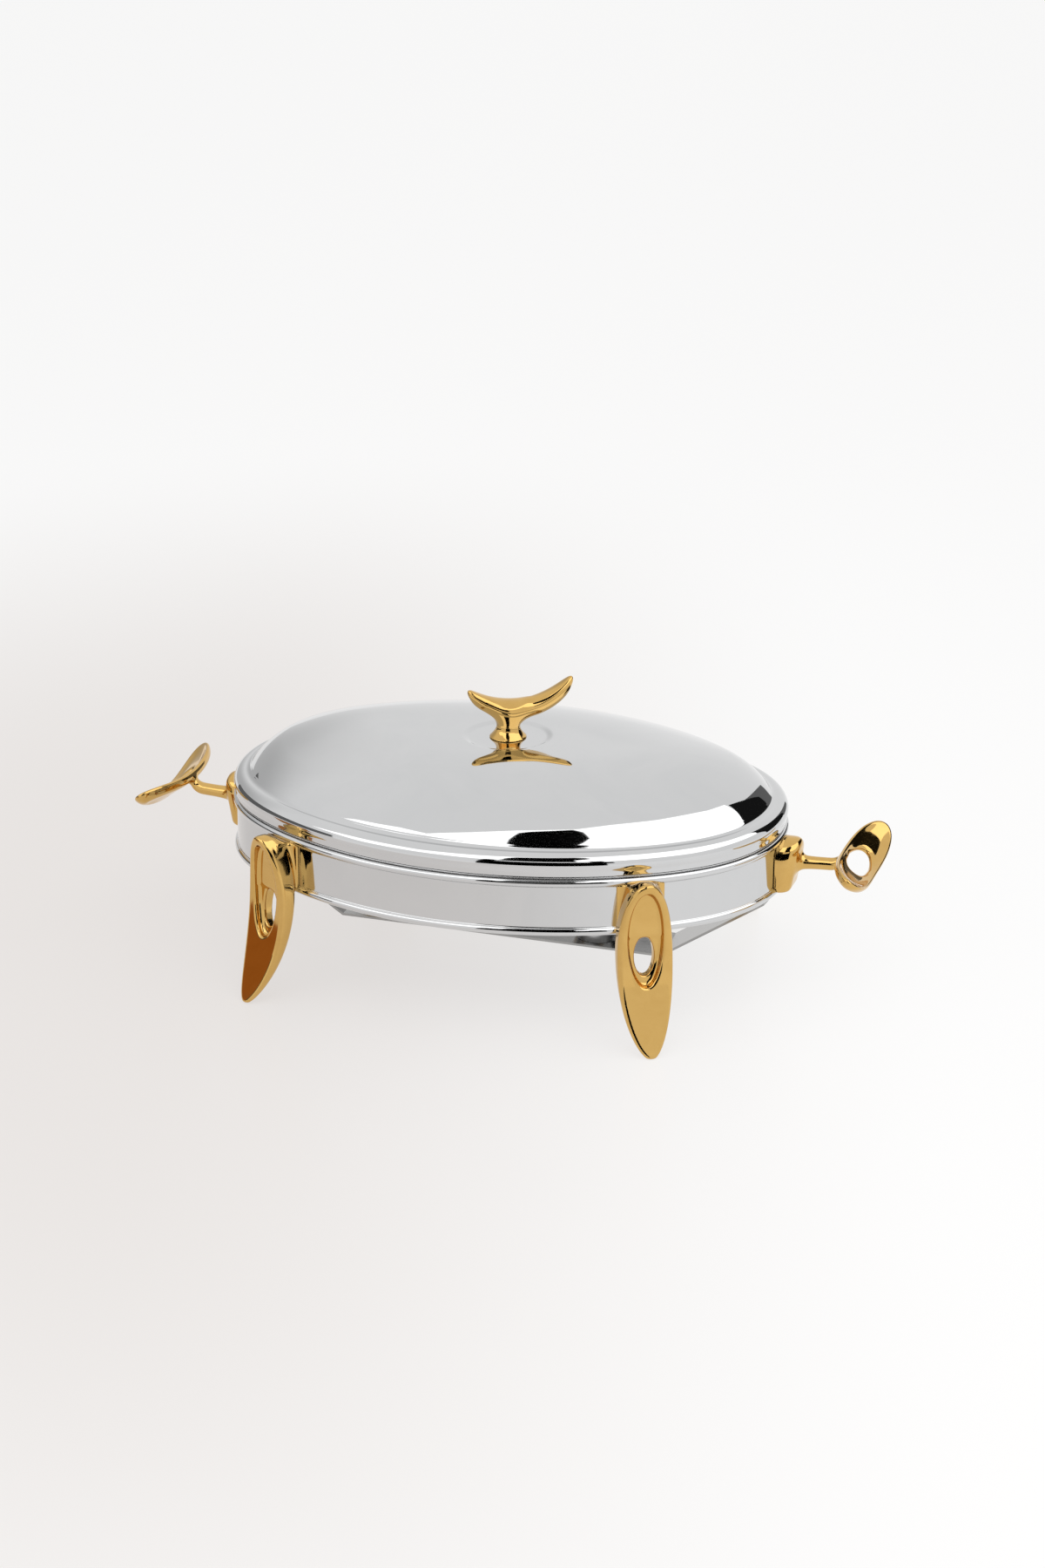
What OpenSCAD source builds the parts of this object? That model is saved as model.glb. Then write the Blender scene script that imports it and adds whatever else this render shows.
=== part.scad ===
// Oval chafing dish: a lidded food pan in a stand band on four leaf legs, over two candle cups.
// Millimetres, +Z up. The origin is on the table under the middle, X runs along the long axis.

/* [Oval plan] */
// Half length of the band's outer wall
plan_half_length = 176; // [155:1:195]
// Half width of the band's outer wall
plan_half_width = 124; // [114:1:138]
// Radius of the plan's two rounded ends
plan_end_radius = 98; // [85:1:106]

/* [Stand band] */
// Height of the band's lower edge above the table
band_bottom = 68; // [60:1:80]
// Height of the band from edge to edge
band_height = 36; // [32:1:46]
// Sheet thickness of the band
band_wall = 1.2; // [0.8:0.1:1.6]
// Radius of the rolled bead along both edges
bead_radius = 2.6; // [1.8:0.1:3.2]

/* [Leaf legs] */
// Direction of the front right leg, measured from the long axis
leg_angle = 60; // [45:0.5:70]
// How far the leaf stands above the band
leaf_over = 2.2; // [0:0.1:8]
// Half width of the leaf at its widest
leaf_half_width = 17; // [13:0.5:20]
// Length of the leaf's round end that the flat foot cuts away
foot_cut = 1.3; // [0.8:0.1:3]
// Distance of the foot's front edge from the band's wall
foot_out = 35; // [28:0.5:40]
// Depth of the foot from front to back
foot_depth = 5.4; // [3:0.1:8]
// Distance of the hollow front face from the band's wall at its nearest
leaf_waist_out = 15.5; // [13.5:0.5:19]
// Radius of the hollow front face, seen from the side
leaf_front_radius = 130; // [100:1:160]
// Radius of the rounded back, seen from the side
leaf_back_radius = 126; // [110:1:160]
// Gap between the leaf's back and the beads
leaf_bead_gap = 0.6; // [0.4:0.1:1.2]
// Width of the bevel around the leaf's front
leaf_bevel = 2.4; // [1:0.1:3.5]
// Half height of the leaf's oval recess
recess_half_height = 30; // [22:0.5:34]
// Half width of the leaf's oval recess
recess_half_width = 10.6; // [6:0.1:12]
// Depth of the leaf's oval recess
recess_depth = 4.5; // [1:0.1:6]
// Width of the rim between the recess and the top of the leaf
recess_rim = 6.4; // [5:0.1:10]
// Half height of the hole in the recess
leaf_hole_half_height = 12; // [8:0.5:15]
// Half width of the hole in the recess
leaf_hole_half_width = 6; // [3:0.1:7]
// Distance from the recess's lower end to the hole
leaf_hole_rim = 5.8; // [4:0.1:9]
// Half width of the leg's saddle on the band
saddle_half_width = 14.5; // [11:0.5:18]
// Half width of the neck between saddle and leaf
neck_half_width = 8.5; // [6.5:0.5:10]
// Thickness of the saddle's edge, outside the band's wall
saddle_edge = 1; // [0.6:0.1:2]
// How far the saddle's ends stay inside the middles of the beads
saddle_inset = 0.5; // [0.2:0.1:2]

/* [Handles] */
// Half width of the boss on the band's end
boss_half_width = 15; // [11:0.5:18]
// Reach of the boss at its top
boss_reach = 14.5; // [12:0.5:20]
// Set-back of the boss's outer face at its lower edge
boss_slant = 6; // [3:0.5:9]
// Radius of the boss's upright outer corners
boss_corner = 9; // [3:0.5:11]
// Height left free between the boss and the band's two edges
boss_edge = 1.2; // [0.6:0.1:2.4]
// Distance of the grip's middle from the band's wall
grip_out = 47.5; // [44:0.5:60]
// Height of the grip's middle above the middle of the band
grip_rise = 3; // [1:0.5:12]
// Half length of the grip across the dish
grip_half_length = 53; // [44:1:60]
// Half width of the grip
grip_half_width = 13.5; // [11:0.5:16]
// Thickness of the grip's middle
grip_thickness = 9; // [5.5:0.5:11]
// How far the grip's tips bend up
grip_bend = 10; // [3:0.5:14]
// Angle between the grip's face and the vertical
grip_tilt = 54; // [35:1:65]
// Half length of the hole in the grip
grip_hole_half_length = 16.5; // [10:0.5:22]
// Half width of the hole in the grip
grip_hole_half_width = 6.4; // [3:0.1:8]
// Radius of the stem at its thinnest
stem_radius = 3.5; // [2.8:0.1:4.5]
// Radius of the stem where it flares into the boss and the grip
stem_flare = 5.6; // [4.8:0.1:7]
// Height of the stem's root above the middle of the band
stem_rise = 1; // [0:0.1:3]

/* [Burner] */
// Width of the burner strap
strap_width = 36; // [28:1:42]
// Thickness of the burner strap
strap_thickness = 1.5; // [1:0.1:2]
// Height of the strap's level middle above the table
strap_height = 20; // [16:0.5:26]
// Half length of the strap's level middle
strap_half_level = 106; // [96:1:116]
// Height of the strap's upright tab above the middle of the band
tab_over = 8; // [6:0.5:10]
// Drop of the strap's bend below the band's lower edge
tab_drop = 4; // [2:0.5:8]
// Height over which the strap steps from the bead out to the wall
tab_step = 4; // [3:0.5:5]
// Distance of each candle cup from the middle of the strap
cup_spacing = 60; // [45:1:72]
// Outer radius of a cup's foot
cup_foot_radius = 14; // [10:0.5:16]
// Outer radius of a cup's mouth
cup_mouth_radius = 21; // [20:0.5:26]
// Height of a cup
cup_height = 18; // [12:0.5:22]
// Sheet thickness of a cup
cup_wall = 1; // [0.6:0.1:1.5]
// Radius of the rolled rim of a cup
cup_rim_radius = 1.1; // [0.8:0.1:1.6]
// Radius of a rivet's shank
rivet_radius = 2.5; // [1.5:0.1:3]
// Radius of a rivet's heads
rivet_head_radius = 4.5; // [3.8:0.1:6]
// Height of a rivet's heads
rivet_head = 1.2; // [0.8:0.1:2]

/* [Food pan] */
// Depth of the pan from its rim to the underside of its bottom
pan_depth = 46; // [38:0.5:50]
// Sheet thickness of the pan
pan_wall = 1; // [0.7:0.1:1.5]
// Radius of the pan's lower corner, inside
pan_corner = 14; // [8:0.5:20]
// Slope of the pan's wall from the vertical
pan_draft = 12; // [11:0.5:16]
// How far the pan's flange reaches past the band's wall
flange_over = 0.2; // [-0.4:0.1:0.4]
// Height of the step that keeps the lid in place
step_height = 2.3; // [1.4:0.1:4]
// Width of the flat top of the step
step_width = 3.7; // [3.6:0.1:5]

/* [Lid] */
// Sheet thickness of the lid
lid_wall = 1; // [0.7:0.1:1.4]
// How far the lid's skirt stands outside the band's wall
skirt_over = 0.6; // [0.4:0.1:1]
// Height of the lid's skirt below its ring
skirt_height = 4.9; // [4:0.1:10]
// Radius of the lid's rounded ring edge
ring_radius = 4.6; // [2:0.1:6]
// How far the ring stands out from the skirt
ring_over = 0.8; // [0.4:0.1:1.2]
// Width of the flat brim between the ring and the dome
brim_width = 5.3; // [4:0.1:10]
// Rise of the brim from the ring to the dome
brim_rise = 1.5; // [0.5:0.1:3]
// Slope of the dome where it leaves the brim
dome_slope = 57; // [48:1:65]
// Slope of the dome where its shoulder becomes the crown
crown_slope = 21.5; // [12:0.5:26]
// Radius of the dome's shoulder
shoulder_radius = 47; // [36:1:54]
// Radius that the level top keeps at the two ends
top_end_radius = 8; // [4:0.5:16]
// Radius of the dimple around the knob
dimple_radius = 26; // [20:0.5:29]
// Depth of the dimple around the knob
dimple_depth = 1.2; // [0.6:0.1:2]

/* [Knob] */
// Direction of the knob's crescent from the long axis
knob_angle = 30; // [0:1:90]
// Height of the crescent's middle above the lid
knob_height = 18; // [16:0.5:24]
// Radius of the knob's foot
knob_foot_radius = 12.5; // [9:0.5:15]
// Height of the straight edge of the knob's foot
knob_foot_edge = 1; // [0.5:0.1:2]
// Radius of the knob's waist
knob_waist_radius = 7.4; // [5.5:0.1:9]
// Half length of the crescent
crescent_half_length = 35; // [28:0.5:42]
// Half width of the crescent
crescent_half_width = 9.5; // [8:0.5:12]
// Thickness of the crescent's middle
crescent_thickness = 9; // [6:0.5:11]
// How far the crescent's tips bend up
crescent_bend = 14.5; // [6:0.5:18]
// How far the crescent's middle stands beside the knob's axis
crescent_shift = 9; // [0:0.5:12]
// Lean of the crescent towards its longer arm
crescent_lean = 4.5; // [0:0.5:8]

/* [Fasteners] */
// Radius of the screws
screw_radius = 2.5; // [2:0.1:2.8]
// Radius of the screw heads
screw_head_radius = 4.2; // [3.8:0.1:5]
// Height of the screw heads
screw_head = 2; // [1.5:0.1:2.4]
// Length of the leg screws below their heads
leg_screw_length = 9.5; // [8:0.1:10]
// Length of the handle screws below their heads
handle_screw_length = 12; // [10:0.5:16]
// Length of the knob screw below its head
knob_screw_length = 14; // [9:0.5:16]
// Radius of the washers
washer_radius = 5; // [4.6:0.1:6]
// Thickness of the washers
washer_thickness = 0.8; // [0.5:0.1:1]

/* [Clearances] */
// Gap between pieces that rest on each other
seat_gap = 0.3; // [0.1:0.05:0.5]
// Gap around a screw or rivet in its hole
hole_gap = 0.15; // [0.1:0.05:0.3]
// Gap between the lid's skirt and the step of the pan
lid_gap = 1.5; // [0.5:0.1:2]

/* [Hidden] */

steel = [0.78, 0.79, 0.80];
gold = [0.85, 0.65, 0.25];
$fn = 144;

// Segments of a profile's arcs, beads and small rounds, and stations along a lofted blade
arc_steps = 8;
bead_steps = 18;
blade_steps = 28;
small_fn = 48;
// Overlap that lets cuts run clear of a face, lap of the oval's arcs where they meet,
// and reach of the cutters that trim to the oval
over = 1;
arc_lap = 0.00004;
cut_reach = 20;
// Depth to which a casting is drawn inside the wall before the band's space is cut from it
casting_root = 6;

// Forms of the lofted blades: fullness of the outline and of the rounded back, width left at a tip
outline_power = 2.2;
back_power = 3;
back_steps = 9;
tip_share = 0.045;
// Largest share of a blade's half width and thickness that its bevel takes
bevel_share = 0.3;
// Thickness left at a crescent's tips and width of its bevel, as shares of its thickness
crescent_tip_share = 0.45;
crescent_bevel_share = 0.25;
// Shift of the leaf's widest place towards the foot, slope of its back above the band, depth of its tip
leaf_skew = 1.1;
leaf_top_slope = 0.9;
leaf_tip_depth = 2;
// Fullness of the flares of the stem and of the knob's foot
stem_power = 3;
knob_power = 2.6;
// Depth to which the stem and the knob's foot run into their crescents, as a share of its thickness
crescent_sink_share = 0.3;
// Radius of the far end of a screw or rivet head, as a share of the head's radius
head_taper = 0.7;
// Height and depth of the boss's upper chamfer, as shares of its slant
boss_chamfer = [0.3, 0.6];
// Run of the dimple's edge for each millimetre of its depth
dimple_slope = 2;

// The plan is an oval of four arcs: two end arcs and two side arcs that meet at join_angle.
end_shift = plan_half_length - plan_end_radius;
side_radius = (pow(end_shift, 2) + pow(plan_half_width, 2) - pow(plan_end_radius, 2))
    / (2 * (plan_half_width - plan_end_radius));
side_shift = side_radius - plan_half_width;
join_angle = atan2(side_shift, end_shift);
sweep_height = 2 * plan_half_width;
past_middle = -plan_half_width - over;

band_top = band_bottom + band_height;
band_middle = band_bottom + band_height / 2;
bead_centre = -band_wall / 2;
bead_out = bead_centre + bead_radius;
saddle_height = band_height - 2 * (bead_radius + saddle_inset);

leaf_top = band_top + leaf_over;
leaf_back_out = bead_out + leaf_bead_gap;
// Centres of the circles that shape the leaf's front and back, seen from the side
leaf_front_centre = [leaf_waist_out + leaf_front_radius,
    circle_height(leaf_front_radius, leaf_waist_out, foot_out)];
leaf_back_centre = [leaf_back_out + leaf_back_radius,
    circle_height(leaf_back_radius, leaf_back_out, foot_out - foot_depth)];
recess_middle = leaf_top - recess_rim - recess_half_height;
leaf_hole_middle = recess_middle - recess_half_height + leaf_hole_rim + leaf_hole_half_height;

boss_bottom = band_bottom + boss_edge;
boss_top = band_top - boss_edge;
boss_arch_middle = boss_top - boss_half_width;
grip_middle = [grip_out, 0, band_middle + grip_rise];

// The strap's ends pass inside the lower bead and then step out to the wall
tab_out = -band_wall - seat_gap;
tab_top = band_middle + tab_over;
tab_bottom = band_bottom - tab_drop;
pass_out = bead_centre - bead_radius - seat_gap;
pass_top = band_bottom + 2 * bead_radius;
strap_end = plan_half_length + pass_out;
strap_slope = atan2(tab_bottom - strap_height, strap_end - strap_half_level);
strap_top = strap_height + strap_thickness;
cup_bottom = strap_top + seat_gap / 2;

// Offsets of the washers and screw heads from the band's outer wall
leg_washer_out = -band_wall - seat_gap - washer_thickness;
leg_head_out = leg_washer_out - seat_gap;
leg_bore = leg_head_out + leg_screw_length + seat_gap;
handle_washer_out = tab_out - strap_thickness - seat_gap - washer_thickness;
handle_head_out = handle_washer_out - seat_gap;
handle_bore = handle_head_out + handle_screw_length + seat_gap;

flange_bottom = band_top + seat_gap;
flange_top = flange_bottom + pan_wall;
step_top = flange_top + step_height;
pan_bottom = step_top - pan_depth;

lid_bottom = flange_top + seat_gap;
skirt_in = skirt_over - lid_wall;
step_out = skirt_in - lid_gap;
// Angle below the level at which the ring's round meets the skirt
ring_turn = acos(1 - ring_over / ring_radius);
ring_centre = [
    skirt_over + ring_over - ring_radius,
    lid_bottom + skirt_height + ring_radius * sin(ring_turn)
];
brim_start = ring_centre + [0, ring_radius];
dome_start = brim_start + [-brim_width, brim_rise];
shoulder_centre = dome_start + shoulder_radius * [-sin(dome_slope), -cos(dome_slope)];
crown_start = shoulder_centre + shoulder_radius * [sin(crown_slope), cos(crown_slope)];
crown_radius = (crown_start[0] + plan_end_radius - top_end_radius) / sin(crown_slope);
crown_centre = crown_start - crown_radius * [sin(crown_slope), cos(crown_slope)];
lid_top = crown_centre[1] + crown_radius;
dimple_floor = lid_top - dimple_depth;
dimple_under = dimple_floor - lid_wall;

knob_bottom = dimple_floor + seat_gap / 2;
knob_washer_bottom = dimple_under - seat_gap / 2 - washer_thickness;
knob_head_top = knob_washer_bottom - seat_gap / 2;
knob_bore_top = knob_head_top + knob_screw_length + seat_gap;

// Height of a circle's centre when its nearest point is at near and it meets the table at foot
function circle_height(r, near, foot) = sqrt(max(1, r * r - pow(r + near - foot, 2)));
// Points along an arc
function arc(c, r, from, to, steps = arc_steps) =
    [for (i = [0:steps]) let (a = from + (to - from) * i / steps) c + r * [cos(a), sin(a)]];
// Distance from the wall to a circle seen from the side, at height z
function circle_out(c, r, z) = c[0] - sqrt(max(1, r * r - pow(z - c[1], 2)));
// A point of the oval whose outward direction is at angle a, from 0 to 90
function oval_point(a) = a < join_angle
    ? [end_shift + plan_end_radius * cos(a), plan_end_radius * sin(a)]
    : [side_radius * cos(a), side_radius * sin(a) - side_shift];
// Share of the full width of a leaf shape at u, from -1 at one tip to 1 at the other
function leaf_share(u) = max(tip_share, sqrt(max(0, 1 - pow(abs(u), outline_power))));
// An ellipse as a list of points
function ellipse(a, b) = [for (t = [0:360 / small_fn:359]) [a * cos(t), b * sin(t)]];
// A power that keeps the sign of its base
function signed_pow(x, p) = sign(x) * pow(abs(x), p);

// Moves its children in a round and a fine step, so that long distances keep all their digits
module shift(distance) {
    rough = [for (d = distance) round(d)];
    translate(rough)
        translate(distance - rough)
            children();
}

// Sweeps its child's profile around the oval: x is the offset from the band's outer wall.
// The arcs are cut out of full turns by the planes in which they meet.
module oval_sweep() {
    far = [5 * end_shift, 4 * side_shift];
    near_lap = end_shift - arc_lap;
    far_lap = far[0] - arc_lap;
    for (half = [0, 180]) {
        rotate(half) {
            intersection() {
                shift([end_shift, 0, 0])
                    rotate_extrude()
                        intersection() {
                            shift([plan_end_radius, 0])
                                children();
                            square([plan_half_length, sweep_height]);
                        }
                linear_extrude(sweep_height)
                    polygon([[near_lap, 0], [far_lap, -far[1]], [far_lap, far[1]]]);
            }
            intersection() {
                shift([0, -side_shift, 0])
                    rotate_extrude()
                        shift([side_radius, 0])
                            children();
                linear_extrude(sweep_height)
                    polygon([[-end_shift, 0], [end_shift, 0], far, [-far[0], far[1]]]);
            }
        }
    }
}

// Skin of a lofted blade through rings of points that all have the same count
module loft(rings) {
    count = len(rings[0]);
    last = len(rings) - 1;
    points = [for (ring = rings) each ring];
    sides = [
        for (i = [0:last - 1])
            for (j = [0:count - 1])
                let (k = (j + 1) % count)
                    each [
                        [i * count + j, (i + 1) * count + j, (i + 1) * count + k],
                        [i * count + j, (i + 1) * count + k, i * count + k]
                    ]
    ];
    first_cap = [for (j = [0:count - 1]) j];
    last_cap = [for (j = [count - 1:-1:0]) last * count + j];
    polyhedron(points = points, faces = concat(sides, [first_cap, last_cap]));
}

// Cross-section of a blade: a flat bevelled face, and a rounded back from edge to edge
function blade_section(half_width, front, back, bevel) =
    let (
        edge = min(bevel, half_width * bevel_share),
        rim = front - min(bevel, front - back) * bevel_share,
        side = [for (i = [0:back_steps]) 180 * i / back_steps]
    )
    concat(
        [[front, half_width - edge], [front, edge - half_width]],
        [for (t = side) [
            rim - (rim - back) * signed_pow(sin(t), 2 / back_power),
            -half_width * signed_pow(cos(t), 2 / back_power)
        ]]
    );

// A crescent along Y that faces +X, with its middle at the origin and its tips bent forwards
module crescent(half_length, half_width, thickness, bend) {
    rings = [
        for (i = [0:blade_steps])
            let (
                u = -cos(180 * i / blade_steps),
                half = half_width * leaf_share(u),
                lift = bend * u * u,
                thick = thickness * (crescent_tip_share + (1 - crescent_tip_share) * leaf_share(u)),
                bevel = thickness * crescent_bevel_share
            )
            [for (p = blade_section(half, lift + thick / 2, lift - thick / 2, bevel))
                [p[0], u * half_length, p[1]]]
    ];
    loft(rings);
}

// Profile of the band: a thin wall with a rolled bead along both edges
module band_profile() {
    meet = acos(band_wall / 2 / bead_radius);
    low = [bead_centre, band_bottom + bead_radius];
    high = [bead_centre, band_top - bead_radius];
    polygon(concat(
        arc(low, bead_radius, meet, -180 - meet, bead_steps),
        arc(high, bead_radius, meet - 180, -360 - meet, bead_steps)
    ));
}

// Space that the band takes up, for the castings that sit on it
module band_space() {
    oval_sweep() {
        union() {
            translate([-2 * casting_root, band_bottom])
                square([2 * casting_root + seat_gap, band_height]);
            for (z = [band_bottom + bead_radius, band_top - bead_radius]) {
                translate([bead_centre, z])
                    circle(bead_radius + seat_gap, $fn = small_fn);
            }
        }
    }
}

// Puts a piece of the front right leg, made with X pointing away from the wall, where it belongs
module at_leg() {
    p = oval_point(leg_angle);
    translate([p[0], -p[1], 0])
        rotate(-leg_angle)
            children();
}

// Puts a piece of the right handle, made with X pointing away from the wall, where it belongs
module at_handle() {
    translate([plan_half_length, 0, 0])
        children();
}

// Hole for a screw through the band's middle, from inside the dish to depth outside the wall
module screw_hole(depth) {
    translate([-casting_root, 0, band_middle])
        rotate([0, 90, 0])
            cylinder(r = screw_radius + hole_gap, h = casting_root + depth, $fn = small_fn);
}

// A screw along +Z whose head ends at the origin
module screw(length) {
    cylinder(r = screw_radius, h = length, $fn = small_fn);
    translate([0, 0, -screw_head])
        cylinder(r1 = screw_head_radius * head_taper, r2 = screw_head_radius, h = screw_head,
            $fn = small_fn);
}

// A washer along +Z that starts at the origin
module washer() {
    difference() {
        cylinder(r = washer_radius, h = washer_thickness, $fn = small_fn);
        translate([0, 0, -over])
            cylinder(r = screw_radius + hole_gap, h = washer_thickness + 2 * over, $fn = small_fn);
    }
}

// Repeats its children at all four legs
module each_leg() {
    for (x = [0, 1], y = [0, 1]) {
        mirror([x, 0, 0])
            mirror([0, y, 0])
                children();
    }
}

// Repeats its children at both ends of the dish
module each_end() {
    for (x = [0, 1]) {
        mirror([x, 0, 0])
            children();
    }
}

module stand_band() {
    color(steel)
        difference() {
            oval_sweep() {
                band_profile();
            }
            each_leg()
                at_leg()
                    screw_hole(over);
            each_end()
                at_handle()
                    screw_hole(over);
        }
}

// Outline of the saddle and neck from above
module neck_plan() {
    fillet = saddle_half_width - neck_half_width;
    tip = leaf_waist_out - recess_depth;
    curve = arc([saddle_edge + fillet, saddle_half_width], fillet, 180, 270);
    side = concat([[-casting_root, saddle_half_width]], curve, [[tip, neck_half_width]]);
    polygon(concat(side, [for (i = [len(side) - 1:-1:0]) [side[i][0], -side[i][1]]]));
}

module leaf() {
    full = leaf_top + foot_cut;
    start = acos(1 - 2 * foot_cut / full);
    rings = [
        for (i = [0:blade_steps])
            let (
                a = start + (180 - start) * i / blade_steps,
                share = (1 - cos(a)) / 2,
                z = share * full - foot_cut,
                half = leaf_half_width * leaf_share(2 * pow(share, leaf_skew) - 1),
                front = circle_out(leaf_front_centre, leaf_front_radius, z),
                slope = max(0, z - band_top + bead_radius) * leaf_top_slope,
                back = circle_out(leaf_back_centre, leaf_back_radius, z) + slope
            )
            [for (p = blade_section(half, front, min(back, front - leaf_tip_depth), leaf_bevel))
                [p[0], p[1], z]]
    ];
    loft([for (i = [blade_steps:-1:0]) rings[i]]);
}

module leg() {
    color(gold)
        difference() {
            at_leg() {
                difference() {
                    union() {
                        leaf();
                        translate([0, 0, band_middle])
                            linear_extrude(saddle_height, center = true)
                                neck_plan();
                    }
                    intersection() {
                        translate([0, 0, recess_middle])
                            rotate([90, 0, 90])
                                linear_extrude(foot_out)
                                    polygon(ellipse(recess_half_width, recess_half_height));
                        translate([leaf_front_centre[0], 0, leaf_front_centre[1]])
                            rotate([90, 0, 0])
                                cylinder(r = leaf_front_radius + recess_depth,
                                    h = 4 * recess_half_width, center = true, $fn = 240);
                    }
                    translate([0, 0, leaf_hole_middle])
                        rotate([90, 0, 90])
                            linear_extrude(foot_out)
                                polygon(ellipse(leaf_hole_half_width, leaf_hole_half_height));
                    screw_hole(leg_bore);
                }
            }
            band_space();
        }
}

module leg_front_right() {
    leg();
}

module leg_front_left() {
    mirror([1, 0, 0])
        leg();
}

module leg_rear_right() {
    mirror([0, 1, 0])
        leg();
}

module leg_rear_left() {
    mirror([1, 0, 0])
        mirror([0, 1, 0])
            leg();
}

module leg_screws() {
    color(steel)
        each_leg()
            at_leg()
                translate([leg_head_out, 0, band_middle])
                    rotate([0, 90, 0])
                        screw(leg_screw_length);
}

module leg_washers() {
    color(steel)
        each_leg()
            at_leg()
                translate([leg_washer_out, 0, band_middle])
                    rotate([0, 90, 0])
                        washer();
}

// Block on the band's end: its top is an arch, its outer face leans back and its upright corners are round
module boss() {
    chamfer = boss_slant * boss_chamfer;
    corner = [boss_reach - boss_corner, boss_half_width - boss_corner];
    intersection() {
        rotate([90, 0, 0])
            linear_extrude(2 * boss_half_width, center = true)
                polygon([
                    [-casting_root, boss_bottom], [boss_reach - boss_slant, boss_bottom],
                    [boss_reach, boss_top - chamfer[1]], [boss_reach - chamfer[0], boss_top],
                    [-casting_root, boss_top]
                ]);
        translate([0, 0, band_bottom])
            linear_extrude(band_height)
                polygon(concat(
                    [[-casting_root, -boss_half_width]],
                    arc([corner[0], -corner[1]], boss_corner, -90, 0),
                    arc(corner, boss_corner, 0, 90),
                    [[-casting_root, boss_half_width]]
                ));
        rotate([90, 0, 90])
            linear_extrude(4 * boss_reach, center = true)
                polygon(concat(
                    [[-boss_half_width, band_bottom], [boss_half_width, band_bottom]],
                    arc([0, boss_arch_middle], boss_half_width, 0, 180)
                ));
    }
}

// Waisted stem from inside the boss to the back of the grip
module stem() {
    start = [boss_reach - boss_slant, 0, band_middle + stem_rise];
    facing = [cos(grip_tilt), 0, sin(grip_tilt)];
    run = grip_middle - grip_thickness * crescent_sink_share * facing - start;
    length = norm(run);
    inner = boss_slant * boss_chamfer[1];
    waist = [
        for (i = [0:2 * arc_steps])
            let (u = i / arc_steps - 1)
                [
                    stem_radius + (stem_flare - stem_radius) * pow(abs(u), stem_power),
                    inner + (length - inner) * (u + 1) / 2
                ]
    ];
    translate(start)
        rotate([0, 90 - atan2(run[2], run[0]), 0])
            rotate_extrude($fn = small_fn)
                polygon(concat([[0, 0], [stem_flare, 0]], waist, [[0, length]]));
}

module grip() {
    translate(grip_middle)
        rotate([0, -grip_tilt, 0])
            crescent(grip_half_length, grip_half_width, grip_thickness, grip_bend);
}

module grip_hole() {
    translate(grip_middle)
        rotate([0, -grip_tilt, 0])
            rotate([90, 0, 90])
                linear_extrude(4 * grip_thickness, center = true)
                    polygon(ellipse(grip_hole_half_length, grip_hole_half_width));
}

module handle() {
    color(gold)
        difference() {
            at_handle() {
                difference() {
                    union() {
                        boss();
                        stem();
                        grip();
                    }
                    grip_hole();
                    screw_hole(handle_bore);
                }
            }
            band_space();
        }
}

module handle_right() {
    handle();
}

module handle_left() {
    mirror([1, 0, 0])
        handle();
}

module handle_screws() {
    color(steel)
        each_end()
            at_handle()
                translate([handle_head_out, 0, band_middle])
                    rotate([0, 90, 0])
                        screw(handle_screw_length);
}

module handle_washers() {
    color(steel)
        each_end()
            at_handle()
                translate([handle_washer_out, 0, band_middle])
                    rotate([0, 90, 0])
                        washer();
}

// Level middle and sloping ends of the strap, seen from the side
module strap_side() {
    bend = strap_half_level - strap_thickness * tan(strap_slope / 2);
    rise = strap_height + strap_thickness / cos(strap_slope);
    lip = strap_end + over;
    run = (lip - strap_half_level) * tan(strap_slope);
    polygon([
        [-lip, strap_height + run], [-strap_half_level, strap_height],
        [strap_half_level, strap_height], [lip, strap_height + run],
        [lip, rise + run], [bend, strap_top], [-bend, strap_top], [-lip, rise + run]
    ]);
}

// Upright end of the strap, from its bend past the bead to the screw
module tab_profile() {
    inner = [-strap_thickness, 0];
    outline = [
        [pass_out, tab_bottom + strap_thickness / 2], [pass_out, pass_top],
        [tab_out, pass_top + tab_step], [tab_out, tab_top]
    ];
    polygon(concat(outline, [for (i = [len(outline) - 1:-1:0]) outline[i] + inner]));
}

module burner_strap() {
    color(steel)
        difference() {
            union() {
                difference() {
                    rotate([90, 0, 0])
                        linear_extrude(strap_width, center = true)
                            strap_side();
                    oval_sweep() {
                        translate([pass_out, strap_height - over])
                            square([cut_reach, band_top]);
                    }
                }
                intersection() {
                    oval_sweep() {
                        tab_profile();
                    }
                    translate([0, 0, band_bottom])
                        cube([3 * plan_half_length, strap_width, 4 * band_height], center = true);
                }
            }
            each_end()
                at_handle()
                    screw_hole(over);
            for (x = [-cup_spacing, cup_spacing]) {
                translate([x, 0, strap_height - over])
                    cylinder(r = rivet_radius + hole_gap, h = strap_thickness + 2 * over, $fn = small_fn);
            }
        }
}

module cup() {
    hole = rivet_radius + hole_gap;
    mouth = cup_height - cup_rim_radius;
    color(steel)
        translate([0, 0, cup_bottom])
            rotate_extrude($fn = 96)
                union() {
                    polygon([
                        [hole, 0], [cup_foot_radius, 0], [cup_mouth_radius, mouth],
                        [cup_mouth_radius - cup_wall, mouth], [cup_foot_radius - cup_wall, cup_wall],
                        [hole, cup_wall]
                    ]);
                    translate([cup_mouth_radius - cup_wall / 2, mouth])
                        circle(cup_rim_radius, $fn = small_fn);
                }
}

module burner_cup_right() {
    translate([cup_spacing, 0, 0])
        cup();
}

module burner_cup_left() {
    translate([-cup_spacing, 0, 0])
        cup();
}

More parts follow.
